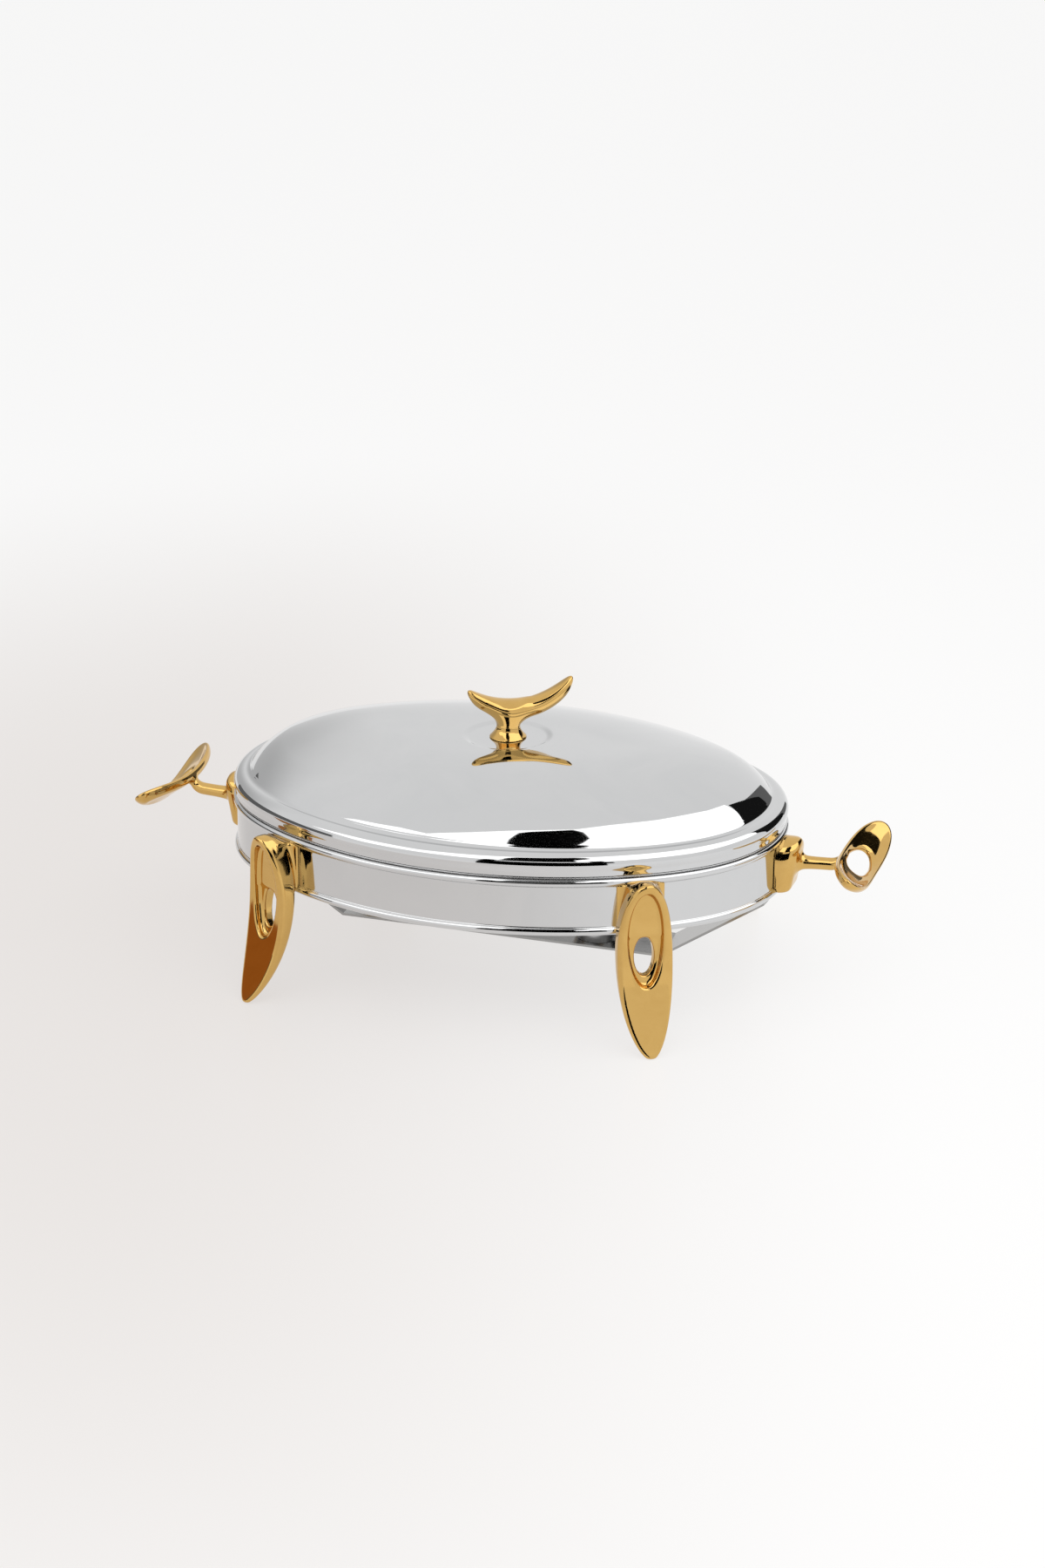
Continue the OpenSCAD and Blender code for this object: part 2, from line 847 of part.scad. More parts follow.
module burner_rivets() {
    under = strap_height - seat_gap / 2;
    upper = cup_bottom + cup_wall + seat_gap / 2;
    small = rivet_head_radius * head_taper;
    color(steel)
        for (x = [-cup_spacing, cup_spacing]) {
            translate([x, 0, 0]) {
                translate([0, 0, under - rivet_head]) {
                    cylinder(r = rivet_radius, h = upper - under + 2 * rivet_head, $fn = small_fn);
                    cylinder(r1 = small, r2 = rivet_head_radius, h = rivet_head, $fn = small_fn);
                }
                translate([0, 0, upper])
                    cylinder(r1 = rivet_head_radius, r2 = small, h = rivet_head, $fn = small_fn);
            }
        }
}

// Profile of the pan's sheet from its flange to past the middle
module pan_profile() {
    outer_corner = pan_corner + pan_wall;
    wall_top = [step_out - step_width + pan_wall, step_top - pan_wall];
    corner_z = pan_bottom + outer_corner;
    corner = [
        wall_top[0] - (wall_top[1] - corner_z) * tan(pan_draft) - outer_corner / cos(pan_draft),
        corner_z
    ];
    inner_top = wall_top[0] + pan_wall * tan(pan_draft) - pan_wall / cos(pan_draft);
    inside = arc(corner, pan_corner, -90, -pan_draft);
    blunt = pan_wall / 2;
    polygon(concat(
        [[flange_over, flange_bottom], [flange_over, flange_top], [step_out, flange_top]],
        [[step_out, step_top - blunt], [step_out - blunt, step_top]],
        [[inner_top + blunt, step_top], [inner_top, step_top - blunt]],
        [for (i = [len(inside) - 1:-1:0]) inside[i]],
        [[past_middle, pan_bottom + pan_wall], [past_middle, pan_bottom]],
        arc(corner, outer_corner, -90, -pan_draft),
        [wall_top, [step_out - pan_wall, step_top - pan_wall], [step_out - pan_wall, flange_bottom]]
    ));
}

module food_pan() {
    color(steel)
        oval_sweep() {
            pan_profile();
        }
}

// Profile of the lid's sheet from its skirt to past the middle
module lid_profile() {
    polygon(concat(
        [[skirt_in, lid_bottom], [skirt_over, lid_bottom], [skirt_over, lid_bottom + skirt_height]],
        arc(ring_centre, ring_radius, -ring_turn, 90),
        arc(shoulder_centre, shoulder_radius, 90 - dome_slope, 90 - crown_slope),
        arc(crown_centre, crown_radius, 90 - crown_slope, 90),
        [[past_middle, lid_top], [past_middle, lid_top - lid_wall]],
        arc(crown_centre, crown_radius - lid_wall, 90, 90 - crown_slope),
        arc(shoulder_centre, shoulder_radius - lid_wall, 90 - crown_slope, 90 - dome_slope),
        arc(ring_centre, ring_radius - lid_wall, 90, -ring_turn),
        [[skirt_in, lid_bottom + skirt_height]]
    ));
}

module lid_shell() {
    edge_run = dimple_slope * dimple_depth;
    color(steel)
        difference() {
            union() {
                oval_sweep() {
                    lid_profile();
                }
                translate([0, 0, dimple_under])
                    cylinder(r1 = dimple_radius - dimple_depth, r2 = dimple_radius + lid_wall,
                        h = lid_top - dimple_under);
            }
            translate([0, 0, dimple_floor])
                cylinder(r1 = dimple_radius - edge_run, r2 = dimple_radius + edge_run, h = 2 * dimple_depth);
            translate([0, 0, dimple_under - over])
                cylinder(r = screw_radius + hole_gap, h = lid_wall + 2 * over, $fn = small_fn);
        }
}

// Waisted round foot of the knob, from the lid into its crescent
module knob_foot() {
    tall = knob_height - crescent_thickness * crescent_sink_share;
    flare = [
        for (i = [0:2 * arc_steps])
            let (
                u = i / arc_steps - 1,
                wide = u < 0 ? knob_foot_radius : crescent_half_width
            )
                [
                    knob_waist_radius + (wide - knob_waist_radius) * pow(abs(u), knob_power),
                    knob_foot_edge + (tall - knob_foot_edge) * (u + 1) / 2
                ]
    ];
    rotate_extrude($fn = 96)
        polygon(concat([[0, 0], [knob_foot_radius, 0]], flare, [[0, tall]]));
}

module lid_knob() {
    color(gold)
        difference() {
            translate([0, 0, knob_bottom]) {
                knob_foot();
                rotate(knob_angle)
                    translate([crescent_shift, 0, knob_height])
                        rotate([0, -crescent_lean, 0])
                            rotate([0, 0, -90])
                                rotate([0, -90, 0])
                                    crescent(crescent_half_length, crescent_half_width,
                                        crescent_thickness, crescent_bend);
            }
            translate([0, 0, dimple_floor - over])
                cylinder(r = screw_radius + hole_gap, h = knob_bore_top - dimple_floor + over,
                    $fn = small_fn);
        }
}

module knob_screw() {
    color(steel)
        translate([0, 0, knob_head_top])
            screw(knob_screw_length);
}

module knob_washer() {
    color(steel)
        translate([0, 0, knob_washer_bottom])
            washer();
}

stand_band();
leg_front_left();
leg_front_right();
leg_rear_left();
leg_rear_right();
leg_screws();
leg_washers();
handle_left();
handle_right();
handle_screws();
handle_washers();
burner_strap();
burner_cup_left();
burner_cup_right();
burner_rivets();
food_pan();
lid_shell();
lid_knob();
knob_screw();
knob_washer();
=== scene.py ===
# %% [markdown]
# # An oval food warmer with gold-coloured castings
# The warmer is a polished steel lid and pan in an oval stand, carried by four cast leaf legs.
# The engineering solids are already packed, so the scene starts by loading them as a fixed frame.
# The pieces could be modelled freely and scaled afterwards, but everything that follows is drawn around
# that frame, so no piece needs to be fitted by eye. The sizes of the pieces are written in millimetres, as
# a maker would, and those of the studio in metres.

# %% Load the frame
import math

import bpy
import numpy as np
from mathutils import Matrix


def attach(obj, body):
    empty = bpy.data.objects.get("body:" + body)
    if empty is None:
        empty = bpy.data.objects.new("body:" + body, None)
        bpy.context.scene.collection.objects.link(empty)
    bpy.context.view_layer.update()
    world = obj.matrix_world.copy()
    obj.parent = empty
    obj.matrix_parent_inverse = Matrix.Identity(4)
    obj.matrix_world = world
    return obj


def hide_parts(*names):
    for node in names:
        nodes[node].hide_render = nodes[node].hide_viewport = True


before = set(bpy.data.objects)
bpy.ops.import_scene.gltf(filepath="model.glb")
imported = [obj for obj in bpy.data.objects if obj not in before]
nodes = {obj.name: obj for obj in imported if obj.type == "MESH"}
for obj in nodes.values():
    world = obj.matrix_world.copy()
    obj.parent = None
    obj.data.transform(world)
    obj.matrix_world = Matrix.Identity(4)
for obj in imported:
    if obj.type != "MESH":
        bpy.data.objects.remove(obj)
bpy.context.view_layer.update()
MM = 0.001

# %% [markdown]
# ## The camera
# The camera looks down at the dish from its front right corner.
# It could be placed by hand, but an angle around the dish, an angle above the table and a distance
# are easier to read and to change. The long lens keeps the oval's two ends almost the same size.

# %% Camera
VIEW_AROUND = math.radians(18.30)
VIEW_ABOVE = math.radians(20.72)
VIEW_DISTANCE = 2.1015
AIM_RIGHT = 0.00898
AIM_UP = 0.10447
FRAME_PIXELS = 1800
FOCAL_PIXELS = 3781.4
AXIS_DROP = 7
SENSOR_HEIGHT = 36.0
FAR_CLIP = 100.0


def camera_axes():
    back = np.array([
        math.sin(VIEW_AROUND) * math.cos(VIEW_ABOVE),
        -math.cos(VIEW_AROUND) * math.cos(VIEW_ABOVE),
        math.sin(VIEW_ABOVE),
    ])
    right = np.array([math.cos(VIEW_AROUND), math.sin(VIEW_AROUND), 0.0])
    return right, np.cross(back, right), back


def make_camera():
    data = bpy.data.cameras.new("warmer_camera")
    data.sensor_fit = "VERTICAL"
    data.sensor_height = SENSOR_HEIGHT
    data.lens = FOCAL_PIXELS / FRAME_PIXELS * SENSOR_HEIGHT
    data.shift_y = AXIS_DROP / FRAME_PIXELS
    data.clip_end = FAR_CLIP
    camera = bpy.data.objects.new("warmer_camera", data)
    right, up, back = camera_axes()
    matrix = np.eye(4)
    matrix[:3, :3] = np.column_stack([right, up, back])
    matrix[:3, 3] = back * VIEW_DISTANCE + right * AIM_RIGHT + up * AIM_UP
    camera.matrix_world = matrix.T.tolist()
    bpy.context.scene.collection.objects.link(camera)
    bpy.context.scene.camera = camera
    return camera


camera = make_camera()
print("camera at", [round(v, 3) for v in camera.matrix_world.translation], "lens", round(camera.data.lens, 1))

# %% [markdown]
# ## Shared surface effects
# Polished metal is never perfectly even: wiping leaves a faint haze, and use leaves hairline marks.
# Every material could have its own copy of these effects, but a node group is built once and placed in
# each metal with its own strengths. Two helpers come first, because nodes are easier to read when a node
# and its links are written together.

# %% Node helpers


def new_group(name, inputs, outputs):
    group = bpy.data.node_groups.new(name, "ShaderNodeTree")
    for label, kind, value in inputs:
        socket = group.interface.new_socket(label, in_out="INPUT", socket_type=kind)
        socket.default_value = value
    for label, kind in outputs:
        group.interface.new_socket(label, in_out="OUTPUT", socket_type=kind)
    return group, group.nodes.new("NodeGroupInput"), group.nodes.new("NodeGroupOutput")


def add(tree, kind, links=(), **settings):
    node = tree.nodes.new(kind)
    for key, value in settings.items():
        setattr(node, key, value)
    for socket, value in links:
        target = node.inputs[socket]
        if isinstance(value, bpy.types.NodeSocket):
            tree.links.new(value, target)
        else:
            target.default_value = value
    return node


print("node helpers:", new_group.__name__, "and", add.__name__)

# %% [markdown]
# ### Haze left by polishing
# Under a strong light a polished sheet shows soft clouds where the cloth pressed harder. They could be
# painted, but a noise texture needs no unwrapping and has no seams. It is driven by object coordinates,
# which stay on the piece when it is lifted. It spreads the roughness between a low and a high value.

# %% Haze
HAZE_DETAIL = 5.0
HAZE_ROUGHNESS = 0.62
HAZE_DISTORTION = 0.8
HAZE_FROM = 0.35
HAZE_TO = 0.72


def make_haze():
    group, given, out = new_group(
        "polish_haze",
        [
            ("Scale", "NodeSocketFloat", 40.0),
            ("Low", "NodeSocketFloat", 0.05),
            ("High", "NodeSocketFloat", 0.1),
        ],
        [("Roughness", "NodeSocketFloat"), ("Mask", "NodeSocketFloat")],
    )
    spot = add(group, "ShaderNodeTexCoord").outputs["Object"]
    cloud = add(group, "ShaderNodeTexNoise", [
        ("Vector", spot), ("Scale", given.outputs["Scale"]), ("Detail", HAZE_DETAIL),
        ("Roughness", HAZE_ROUGHNESS), ("Distortion", HAZE_DISTORTION),
    ])
    spread = add(group, "ShaderNodeMapRange", [
        ("Value", cloud.outputs["Fac"]), ("From Min", HAZE_FROM), ("From Max", HAZE_TO),
        ("To Min", given.outputs["Low"]), ("To Max", given.outputs["High"]),
    ])
    group.links.new(spread.outputs["Result"], out.inputs["Roughness"])
    group.links.new(cloud.outputs["Fac"], out.inputs["Mask"])
    return group


haze = make_haze()
print("group", haze.name, "with", len(haze.nodes), "nodes")

# %% [markdown]
# ### Hairline marks
# Rolled and brushed sheet carries fine parallel lines. They could be real grooves in the mesh, but they
# are far thinner than its faces. So noise is stretched into threads and given out as a height for a bump.

# %% Hairlines
HAIRLINE_DETAIL = 3.0


def make_hairlines():
    group, given, out = new_group(
        "hairline_marks",
        [("Stretch", "NodeSocketVector", (30.0, 900.0, 900.0)), ("Depth", "NodeSocketFloat", 0.1)],
        [("Height", "NodeSocketFloat"), ("Mask", "NodeSocketFloat")],
    )
    spot = add(group, "ShaderNodeTexCoord").outputs["Object"]
    pulled = add(group, "ShaderNodeVectorMath", [
        (0, spot), (1, given.outputs["Stretch"]),
    ], operation="MULTIPLY")
    lines = add(group, "ShaderNodeTexNoise", [
        ("Vector", pulled.outputs["Vector"]), ("Scale", 1.0), ("Detail", HAIRLINE_DETAIL),
    ])
    height = add(group, "ShaderNodeMath", [
        (0, lines.outputs["Fac"]), (1, given.outputs["Depth"]),
    ], operation="MULTIPLY")
    group.links.new(height.outputs["Value"], out.inputs["Height"])
    group.links.new(lines.outputs["Fac"], out.inputs["Mask"])
    return group


hairlines = make_hairlines()
print("group", hairlines.name, "with", len(hairlines.nodes), "nodes")

# %% [markdown]
# ## The metals
# Five finishes cover the whole object: mirror-polished steel for the lid and the band, satin steel for the
# pan and the candle cups, a duller strip steel for the strap under the pan, whose darker colour is partly
# painted shade for the shadow under the pan, gold-coloured plating for the castings, and plain steel for the
# fasteners. Each could be a material of its own making, but only the values differ, so one function makes
# all five. A mirror has almost no colour of its own: the shader only sets how much light comes back and how
# sharp it is, and the studio around it does the rest.

# %% Metal recipe
TINT_START = 0.3
TINT_END = 0.7
BUMP_STRENGTH = 0.12
BUMP_DISTANCE = 0.0002


def use_group(tree, group, **values):
    node = add(tree, "ShaderNodeGroup", node_tree=group)
    for label, value in values.items():
        node.inputs[label].default_value = value
    return node


def two_tones(tree, mask, first, second, start=0.0, end=1.0):
    ramp = add(tree, "ShaderNodeValToRGB", [("Fac", mask)])
    elements = ramp.color_ramp.elements
    elements[0].position = start
    elements[1].position = end
    elements[0].color = (*first, 1.0)
    elements[1].color = (*second, 1.0)
    return ramp.outputs["Color"]


def make_metal(name, dark, light, rough, scale, stretch, depth):
    material = bpy.data.materials.new(name)
    material.use_nodes = True
    tree = material.node_tree
    shader = tree.nodes["Principled BSDF"]
    shader.inputs["Metallic"].default_value = 1.0
    cloud = use_group(tree, haze, Scale=scale, Low=rough[0], High=rough[1])
    marks = use_group(tree, hairlines, Stretch=stretch, Depth=depth)
    bump = add(tree, "ShaderNodeBump", [
        ("Height", marks.outputs["Height"]), ("Strength", BUMP_STRENGTH), ("Distance", BUMP_DISTANCE),
    ])
    colour = two_tones(tree, cloud.outputs["Mask"], dark, light, TINT_START, TINT_END)
    tree.links.new(colour, shader.inputs["Base Color"])
    tree.links.new(cloud.outputs["Roughness"], shader.inputs["Roughness"])
    tree.links.new(bump.outputs["Normal"], shader.inputs["Normal"])
    material.diffuse_color = (*light, 1.0)
    print("material", name, "with", len(tree.nodes), "nodes")
    return material


print("the tint runs from", TINT_START, "to", TINT_END, "of the haze")

# %% Five metals
MIRROR = make_metal(
    "mirror_steel", dark=(0.625, 0.63, 0.635), light=(0.655, 0.657, 0.66), rough=(0.03, 0.06),
    scale=18.0, stretch=(60.0, 60.0, 900.0), depth=0.02,
)
SATIN = make_metal(
    "satin_steel", dark=(0.585, 0.588, 0.592), light=(0.61, 0.612, 0.615), rough=(0.26, 0.3),
    scale=30.0, stretch=(25.0, 1400.0, 1400.0), depth=0.5,
)
GOLD = make_metal(
    "gold_plating", dark=(0.63, 0.39, 0.12), light=(0.69, 0.44, 0.145), rough=(0.05, 0.11),
    scale=60.0, stretch=(500.0, 500.0, 90.0), depth=0.12,
)
FASTENER = make_metal(
    "fastener_steel", dark=(0.46, 0.465, 0.47), light=(0.56, 0.562, 0.565), rough=(0.24, 0.36),
    scale=160.0, stretch=(900.0, 900.0, 90.0), depth=0.5,
)
# The strap's darker base colour is partly a duller strip finish and partly painted shade for the shadow under
# the pan.
STRIP_WITH_PAINTED_SHADE = make_metal(
    "strip_steel_painted_shade", dark=(0.35, 0.35, 0.345), light=(0.41, 0.41, 0.405), rough=(0.12, 0.2),
    scale=30.0, stretch=(25.0, 1400.0, 1400.0), depth=0.2,
)

# %% [markdown]
# ## From numbers to meshes
# All new pieces are meshes of quads. They could be pulled into shape with editing operators, but here each
# surface follows from a few sizes, so its points are worked out and handed over in one go. One helper turns
# points in millimetres into a smooth-shaded object, hides the solid that it stands for, and lets it ride on
# that solid's body.

# %% Mesh helper


def make_piece(name, points, quads, material, body, node, slot, normals=None):
    mesh = bpy.data.meshes.new(name)
    mesh.from_pydata((np.asarray(points) * MM).tolist(), [], np.asarray(quads).tolist())
    mesh.polygons.foreach_set("use_smooth", [True] * len(mesh.polygons))
    mesh.materials.append(material)
    mesh.update()
    if normals is not None:
        mesh.normals_split_custom_set_from_vertices(normals.tolist())
    piece = bpy.data.objects.new(name, mesh)
    bpy.context.scene.collection.objects.link(piece)
    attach(piece, body)
    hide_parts(node)
    print(name, len(mesh.vertices), "points,", len(mesh.polygons), "faces")


# %% [markdown]
# ## The oval
# The lid, the band and the pan all follow one oval. The solids use four arcs, whose radius jumps where
# they meet, and a mirror finish would show that jump. Here the radius changes gently from the
# end to the side instead: the outline is found by adding up tiny steps while its direction turns.

# %% Quarter of the oval
HALF_LENGTH = 176.0
HALF_WIDTH = 124.0
END_RADIUS = 98.0
END_SHIFT = HALF_LENGTH - END_RADIUS
SIDE_RADIUS = (END_SHIFT**2 + HALF_WIDTH**2 - END_RADIUS**2) / (2 * (HALF_WIDTH - END_RADIUS))
JOIN_ANGLE = math.atan2(SIDE_RADIUS - HALF_WIDTH, END_SHIFT)
BLEND_ANGLE = math.radians(14.0)
QUARTER_POINTS = 4001


def smooth_step(x):
    x = np.clip(x, 0.0, 1.0)
    return x * x * (3.0 - 2.0 * x)


def add_up(values, turn):
    steps = (values[1:] + values[:-1]) / 2 * np.diff(turn)
    return np.concatenate([[0.0], np.cumsum(steps)])


def quarter_oval():
    turn = np.linspace(0.0, math.pi / 2, QUARTER_POINTS)
    side = smooth_step((turn - JOIN_ANGLE) / (2 * BLEND_ANGLE) + 0.5)
    back_end = add_up((1 - side) * np.sin(turn), turn)
    back_side = add_up(side * np.sin(turn), turn)
    out_end = add_up((1 - side) * np.cos(turn), turn)
    out_side = add_up(side * np.cos(turn), turn)
    system = np.array([[back_end[-1], back_side[-1]], [out_end[-1], out_side[-1]]])
    end, flank = np.linalg.solve(system, [HALF_LENGTH, HALF_WIDTH])
    x = HALF_LENGTH - end * back_end - flank * back_side
    y = end * out_end + flank * out_side
    print("oval radii: end", round(end, 1), "side", round(flank, 1))
    return turn, x, y


QUARTER_TURN, QUARTER_X, QUARTER_Y = quarter_oval()

# %% Whole oval
COLUMNS = 288


def oval_ring():
    turns = np.concatenate([QUARTER_TURN, math.pi - QUARTER_TURN[-2::-1]])
    turns = np.concatenate([turns, math.pi + turns[1:]])
    xs = np.concatenate([QUARTER_X, -QUARTER_X[-2::-1]])
    ys = np.concatenate([QUARTER_Y, QUARTER_Y[-2::-1]])
    xs = np.concatenate([xs, -xs[1:]])
    ys = np.concatenate([ys, -ys[1:]])
    run = np.concatenate([[0.0], np.cumsum(np.hypot(np.diff(xs), np.diff(ys)))])
    marks = np.arange(COLUMNS) / COLUMNS * run[-1]
    angle = np.interp(marks, run, turns)
    ring = np.column_stack([np.interp(marks, run, xs), np.interp(marks, run, ys)])
    print("way round the oval", round(run[-1], 1), "mm in", COLUMNS, "columns")
    return ring, np.column_stack([np.cos(angle), np.sin(angle)])


RING, OUTWARD = oval_ring()

# %% [markdown]
# ### Sheets from rows
# A pressed sheet is one profile that is carried around the oval. A curve with a bevel profile could do
# that, but it can't change from the oval to a round form in the middle. So each point of the profile becomes
# a row, which is the oval moved in or out by a set distance, and neighbouring rows are joined with quads.

# %% Rows around the dish


def oval_row(offset, z):
    return np.column_stack([RING + offset * OUTWARD, np.full(COLUMNS, z)])


def round_row(radius, z):
    angle = np.arange(COLUMNS) / COLUMNS * 2 * math.pi
    return np.column_stack([radius * np.cos(angle), radius * np.sin(angle), np.full(COLUMNS, z)])


def close_rows(rows):
    points = np.concatenate(rows)
    a, b = np.meshgrid(np.arange(len(rows)), np.arange(COLUMNS), indexing="ij")
    a2 = (a + 1) % len(rows)
    b2 = (b + 1) % COLUMNS
    corners = [a * COLUMNS + b, a * COLUMNS + b2, a2 * COLUMNS + b2, a2 * COLUMNS + b]
    return points, np.stack(corners, axis=-1).reshape(-1, 4)


print("rows have", COLUMNS, "points")

# %% Lines of a profile


def arc(centre, radius, start, end, steps):
    angle = np.radians(np.linspace(start, end, steps + 1))
    return np.column_stack([centre[0] + radius * np.cos(angle), centre[1] + radius * np.sin(angle)])


def bend(before, corner, after, cut, steps):
    before, corner, after = (np.asarray(p, float) for p in (before, corner, after))
    first = corner + cut * (before - corner) / np.linalg.norm(before - corner)
    last = corner + cut * (after - corner) / np.linalg.norm(after - corner)
    t = np.linspace(0.0, 1.0, steps + 1)[:, None]
    return (1 - t) ** 2 * first + 2 * t * (1 - t) * corner + t**2 * last


def path_normals(path):
    run = np.gradient(path, axis=0)
    run /= np.linalg.norm(run, axis=1, keepdims=True)
    return np.column_stack([run[:, 1], -run[:, 0]])


print("profile lines:", arc.__name__, "and", bend.__name__)

# %% [markdown]
# ## The lid
# The lid is pressed from one sheet: a short skirt, a rounded ring, a narrow brim, a round shoulder and a
# low crown with a shallow round dimple for the knob. It could be a subdivided box, but a pressed sheet is
# a profile taken around the oval, so the profile is drawn once and every ring of points follows from it.
# The under side is the same path moved in by the sheet's thickness.

# %% Lid profile
LID_BOTTOM = 105.6
SKIRT_OUT = 0.6
SKIRT_HEIGHT = 3.36
SKIRT_GAP = 1.2
SKIRT_BEND = 0.7
EDGE_ROUND = 0.4
LIP_RADIUS = 7.0
LIP_OUT = 0.8
LIP_START = 12.0
LIP_END = 89.0
BRIM_WIDTH = 2.9
BRIM_BEND = 2.4
DOME_SLOPE = 57.0
DOME_GAP = 3.2
SHOULDER_RADIUS = 47.0
CROWN_SLOPE = 21.5
CROWN_GAP = 1.0
LEVEL_GAP = 0.2
LEVEL_OFFSET = 90.0


def tilt(slope):
    return np.array([math.sin(math.radians(slope)), math.cos(math.radians(slope))])


def lid_path():
    lip_turn = math.degrees(math.acos(1 - LIP_OUT / LIP_RADIUS))
    lip = np.array([
        SKIRT_OUT + LIP_OUT - LIP_RADIUS,
        LID_BOTTOM + SKIRT_HEIGHT + LIP_RADIUS * math.sin(math.radians(lip_turn)),
    ])
    dome = lip + [-BRIM_WIDTH, LIP_RADIUS]
    shoulder = dome - SHOULDER_RADIUS * tilt(DOME_SLOPE)
    crown_edge = shoulder + SHOULDER_RADIUS * tilt(CROWN_SLOPE)
    crown_radius = (crown_edge[0] + LEVEL_OFFSET) / math.sin(math.radians(CROWN_SLOPE))
    crown = crown_edge - crown_radius * tilt(CROWN_SLOPE)
    skirt_low = np.array([SKIRT_OUT, LID_BOTTOM])
    skirt_top = np.array([SKIRT_OUT, LID_BOTTOM + SKIRT_HEIGHT])
    round_lip = arc(lip, LIP_RADIUS, LIP_START - lip_turn, LIP_END, steps=28)
    out, up = tilt(DOME_SLOPE)
    path = np.concatenate([
        np.linspace(skirt_low + [0, EDGE_ROUND], skirt_top - [0, SKIRT_GAP], num=8),
        bend(skirt_low, skirt_top, round_lip[1], SKIRT_BEND, steps=4),
        round_lip,
        bend(round_lip[-1], dome, dome + [-up, out], BRIM_BEND, steps=10),
        arc(shoulder, SHOULDER_RADIUS, 90 - DOME_SLOPE + DOME_GAP, 90 - CROWN_SLOPE - CROWN_GAP, steps=44),
        arc(crown, crown_radius, 90 - CROWN_SLOPE + LEVEL_GAP, 90, steps=26),
    ])
    return path, crown[1] + crown_radius


LID_PATH, LID_TOP = lid_path()
print("lid profile of", len(LID_PATH), "points, crown at", round(LID_TOP, 2), "mm")

# %% Lid sheet
LID_WALL = 1.0
DIMPLE_RADIUS = 26.0
DIMPLE_DEPTH = 1.2
DIMPLE_EDGE = 2.6
DIMPLE_FIELD = 4.0
HUB_RADIUS = 2.65
DIMPLE_RINGS = (19.0, 13.0, 8.0, HUB_RADIUS)


def lid_middle():
    level = oval_row(-LEVEL_OFFSET, LID_TOP)
    around = round_row(DIMPLE_RADIUS + DIMPLE_FIELD, LID_TOP)
    middle = [level + (around - level) * share for share in (0.25, 0.5, 0.75, 1.0)]
    for share in np.linspace(0.0, 1.0, num=11):
        radius = DIMPLE_RADIUS + DIMPLE_EDGE - 2 * DIMPLE_EDGE * share
        middle.append(round_row(radius, LID_TOP - DIMPLE_DEPTH * smooth_step(share)))
    return middle + [round_row(radius, LID_TOP - DIMPLE_DEPTH) for radius in DIMPLE_RINGS]


def lid_rows():
    upper = [oval_row(*spot) for spot in LID_PATH]
    lower = [oval_row(*spot) for spot in LID_PATH - LID_WALL * path_normals(LID_PATH)]
    middle = lid_middle()
    under = [row - [0, 0, LID_WALL] for row in middle]
    rim = [
        oval_row(SKIRT_OUT - LID_WALL * share, LID_BOTTOM + EDGE_ROUND * abs(2 * share - 1) ** 3)
        for share in (0.75, 0.5, 0.25)
    ]
    return upper + middle + under[::-1] + lower[::-1] + rim


make_piece("lid_sheet", *close_rows(lid_rows()), MIRROR, "lid", "lid_shell", "polished_steel")

# %% [markdown]
# ## The stand band
# The band is a thin wall with a rolled bead along both edges, which stiffens the sheet and hides its cut
# edge. Wall and beads could be three pieces, but on the real band they are one sheet. So the profile is one
# closed loop: around the lower bead, up the outside, around the upper bead and down the inside.
# Small bends at the beads' roots keep the mirror from breaking into hard lines.

# %% Stand band
BAND_BOTTOM = 68.0
BAND_HEIGHT = 36.0
BAND_TOP = BAND_BOTTOM + BAND_HEIGHT
BAND_WALL = 1.2
BEAD_RADIUS = 2.55
BEAD_STEPS = 36
ROOT_TURN = 12.0
ROOT_BEND = 0.6
ROOT_GAP = np.array([0.0, 2.0])


def band_loop():
    meet = math.degrees(math.acos(BAND_WALL / 2 / BEAD_RADIUS))
    low = np.array([-BAND_WALL / 2, BAND_BOTTOM + BEAD_RADIUS])
    high = np.array([-BAND_WALL / 2, BAND_TOP - BEAD_RADIUS])
    lower = arc(low, BEAD_RADIUS, meet - ROOT_TURN, -180 - meet + ROOT_TURN, BEAD_STEPS)[::-1]
    upper = arc(high, BEAD_RADIUS, ROOT_TURN - meet, 180 + meet - ROOT_TURN, BEAD_STEPS)
    span = BEAD_RADIUS * math.sin(math.radians(meet))
    out_low = np.array([0.0, low[1] + span])
    out_high = np.array([0.0, high[1] - span])
    in_low = np.array([-BAND_WALL, low[1] + span])
    in_high = np.array([-BAND_WALL, high[1] - span])
    outer = np.concatenate([
        bend(lower[-1], out_low, out_high, ROOT_BEND, steps=5),
        np.linspace(out_low + ROOT_GAP, out_high - ROOT_GAP, num=10),
        bend(out_low, out_high, upper[0], ROOT_BEND, steps=5),
    ])
    inner = np.concatenate([
        bend(upper[-1], in_high, in_low, ROOT_BEND, steps=5),
        np.linspace(in_high - ROOT_GAP, in_low + ROOT_GAP, num=6),
        bend(in_high, in_low, lower[0], ROOT_BEND, steps=5),
    ])
    return np.concatenate([lower, outer, upper, inner])


band_rows = [oval_row(*spot) for spot in band_loop()]
make_piece("band_sheet", *close_rows(band_rows), MIRROR, "stand", "stand_band", "polished_steel")

# %% [markdown]
# ## The food pan
# The pan hangs in the band by its stepped rim. It is drawn deep with sloping walls and a large corner, so
# that food comes out easily. It is hidden until the lid is lifted, so its plain solid could stay, but
# then its satin inside shows. It is drawn with the same care as the lid: a flange, a step, a wall, a corner
# and a level floor.

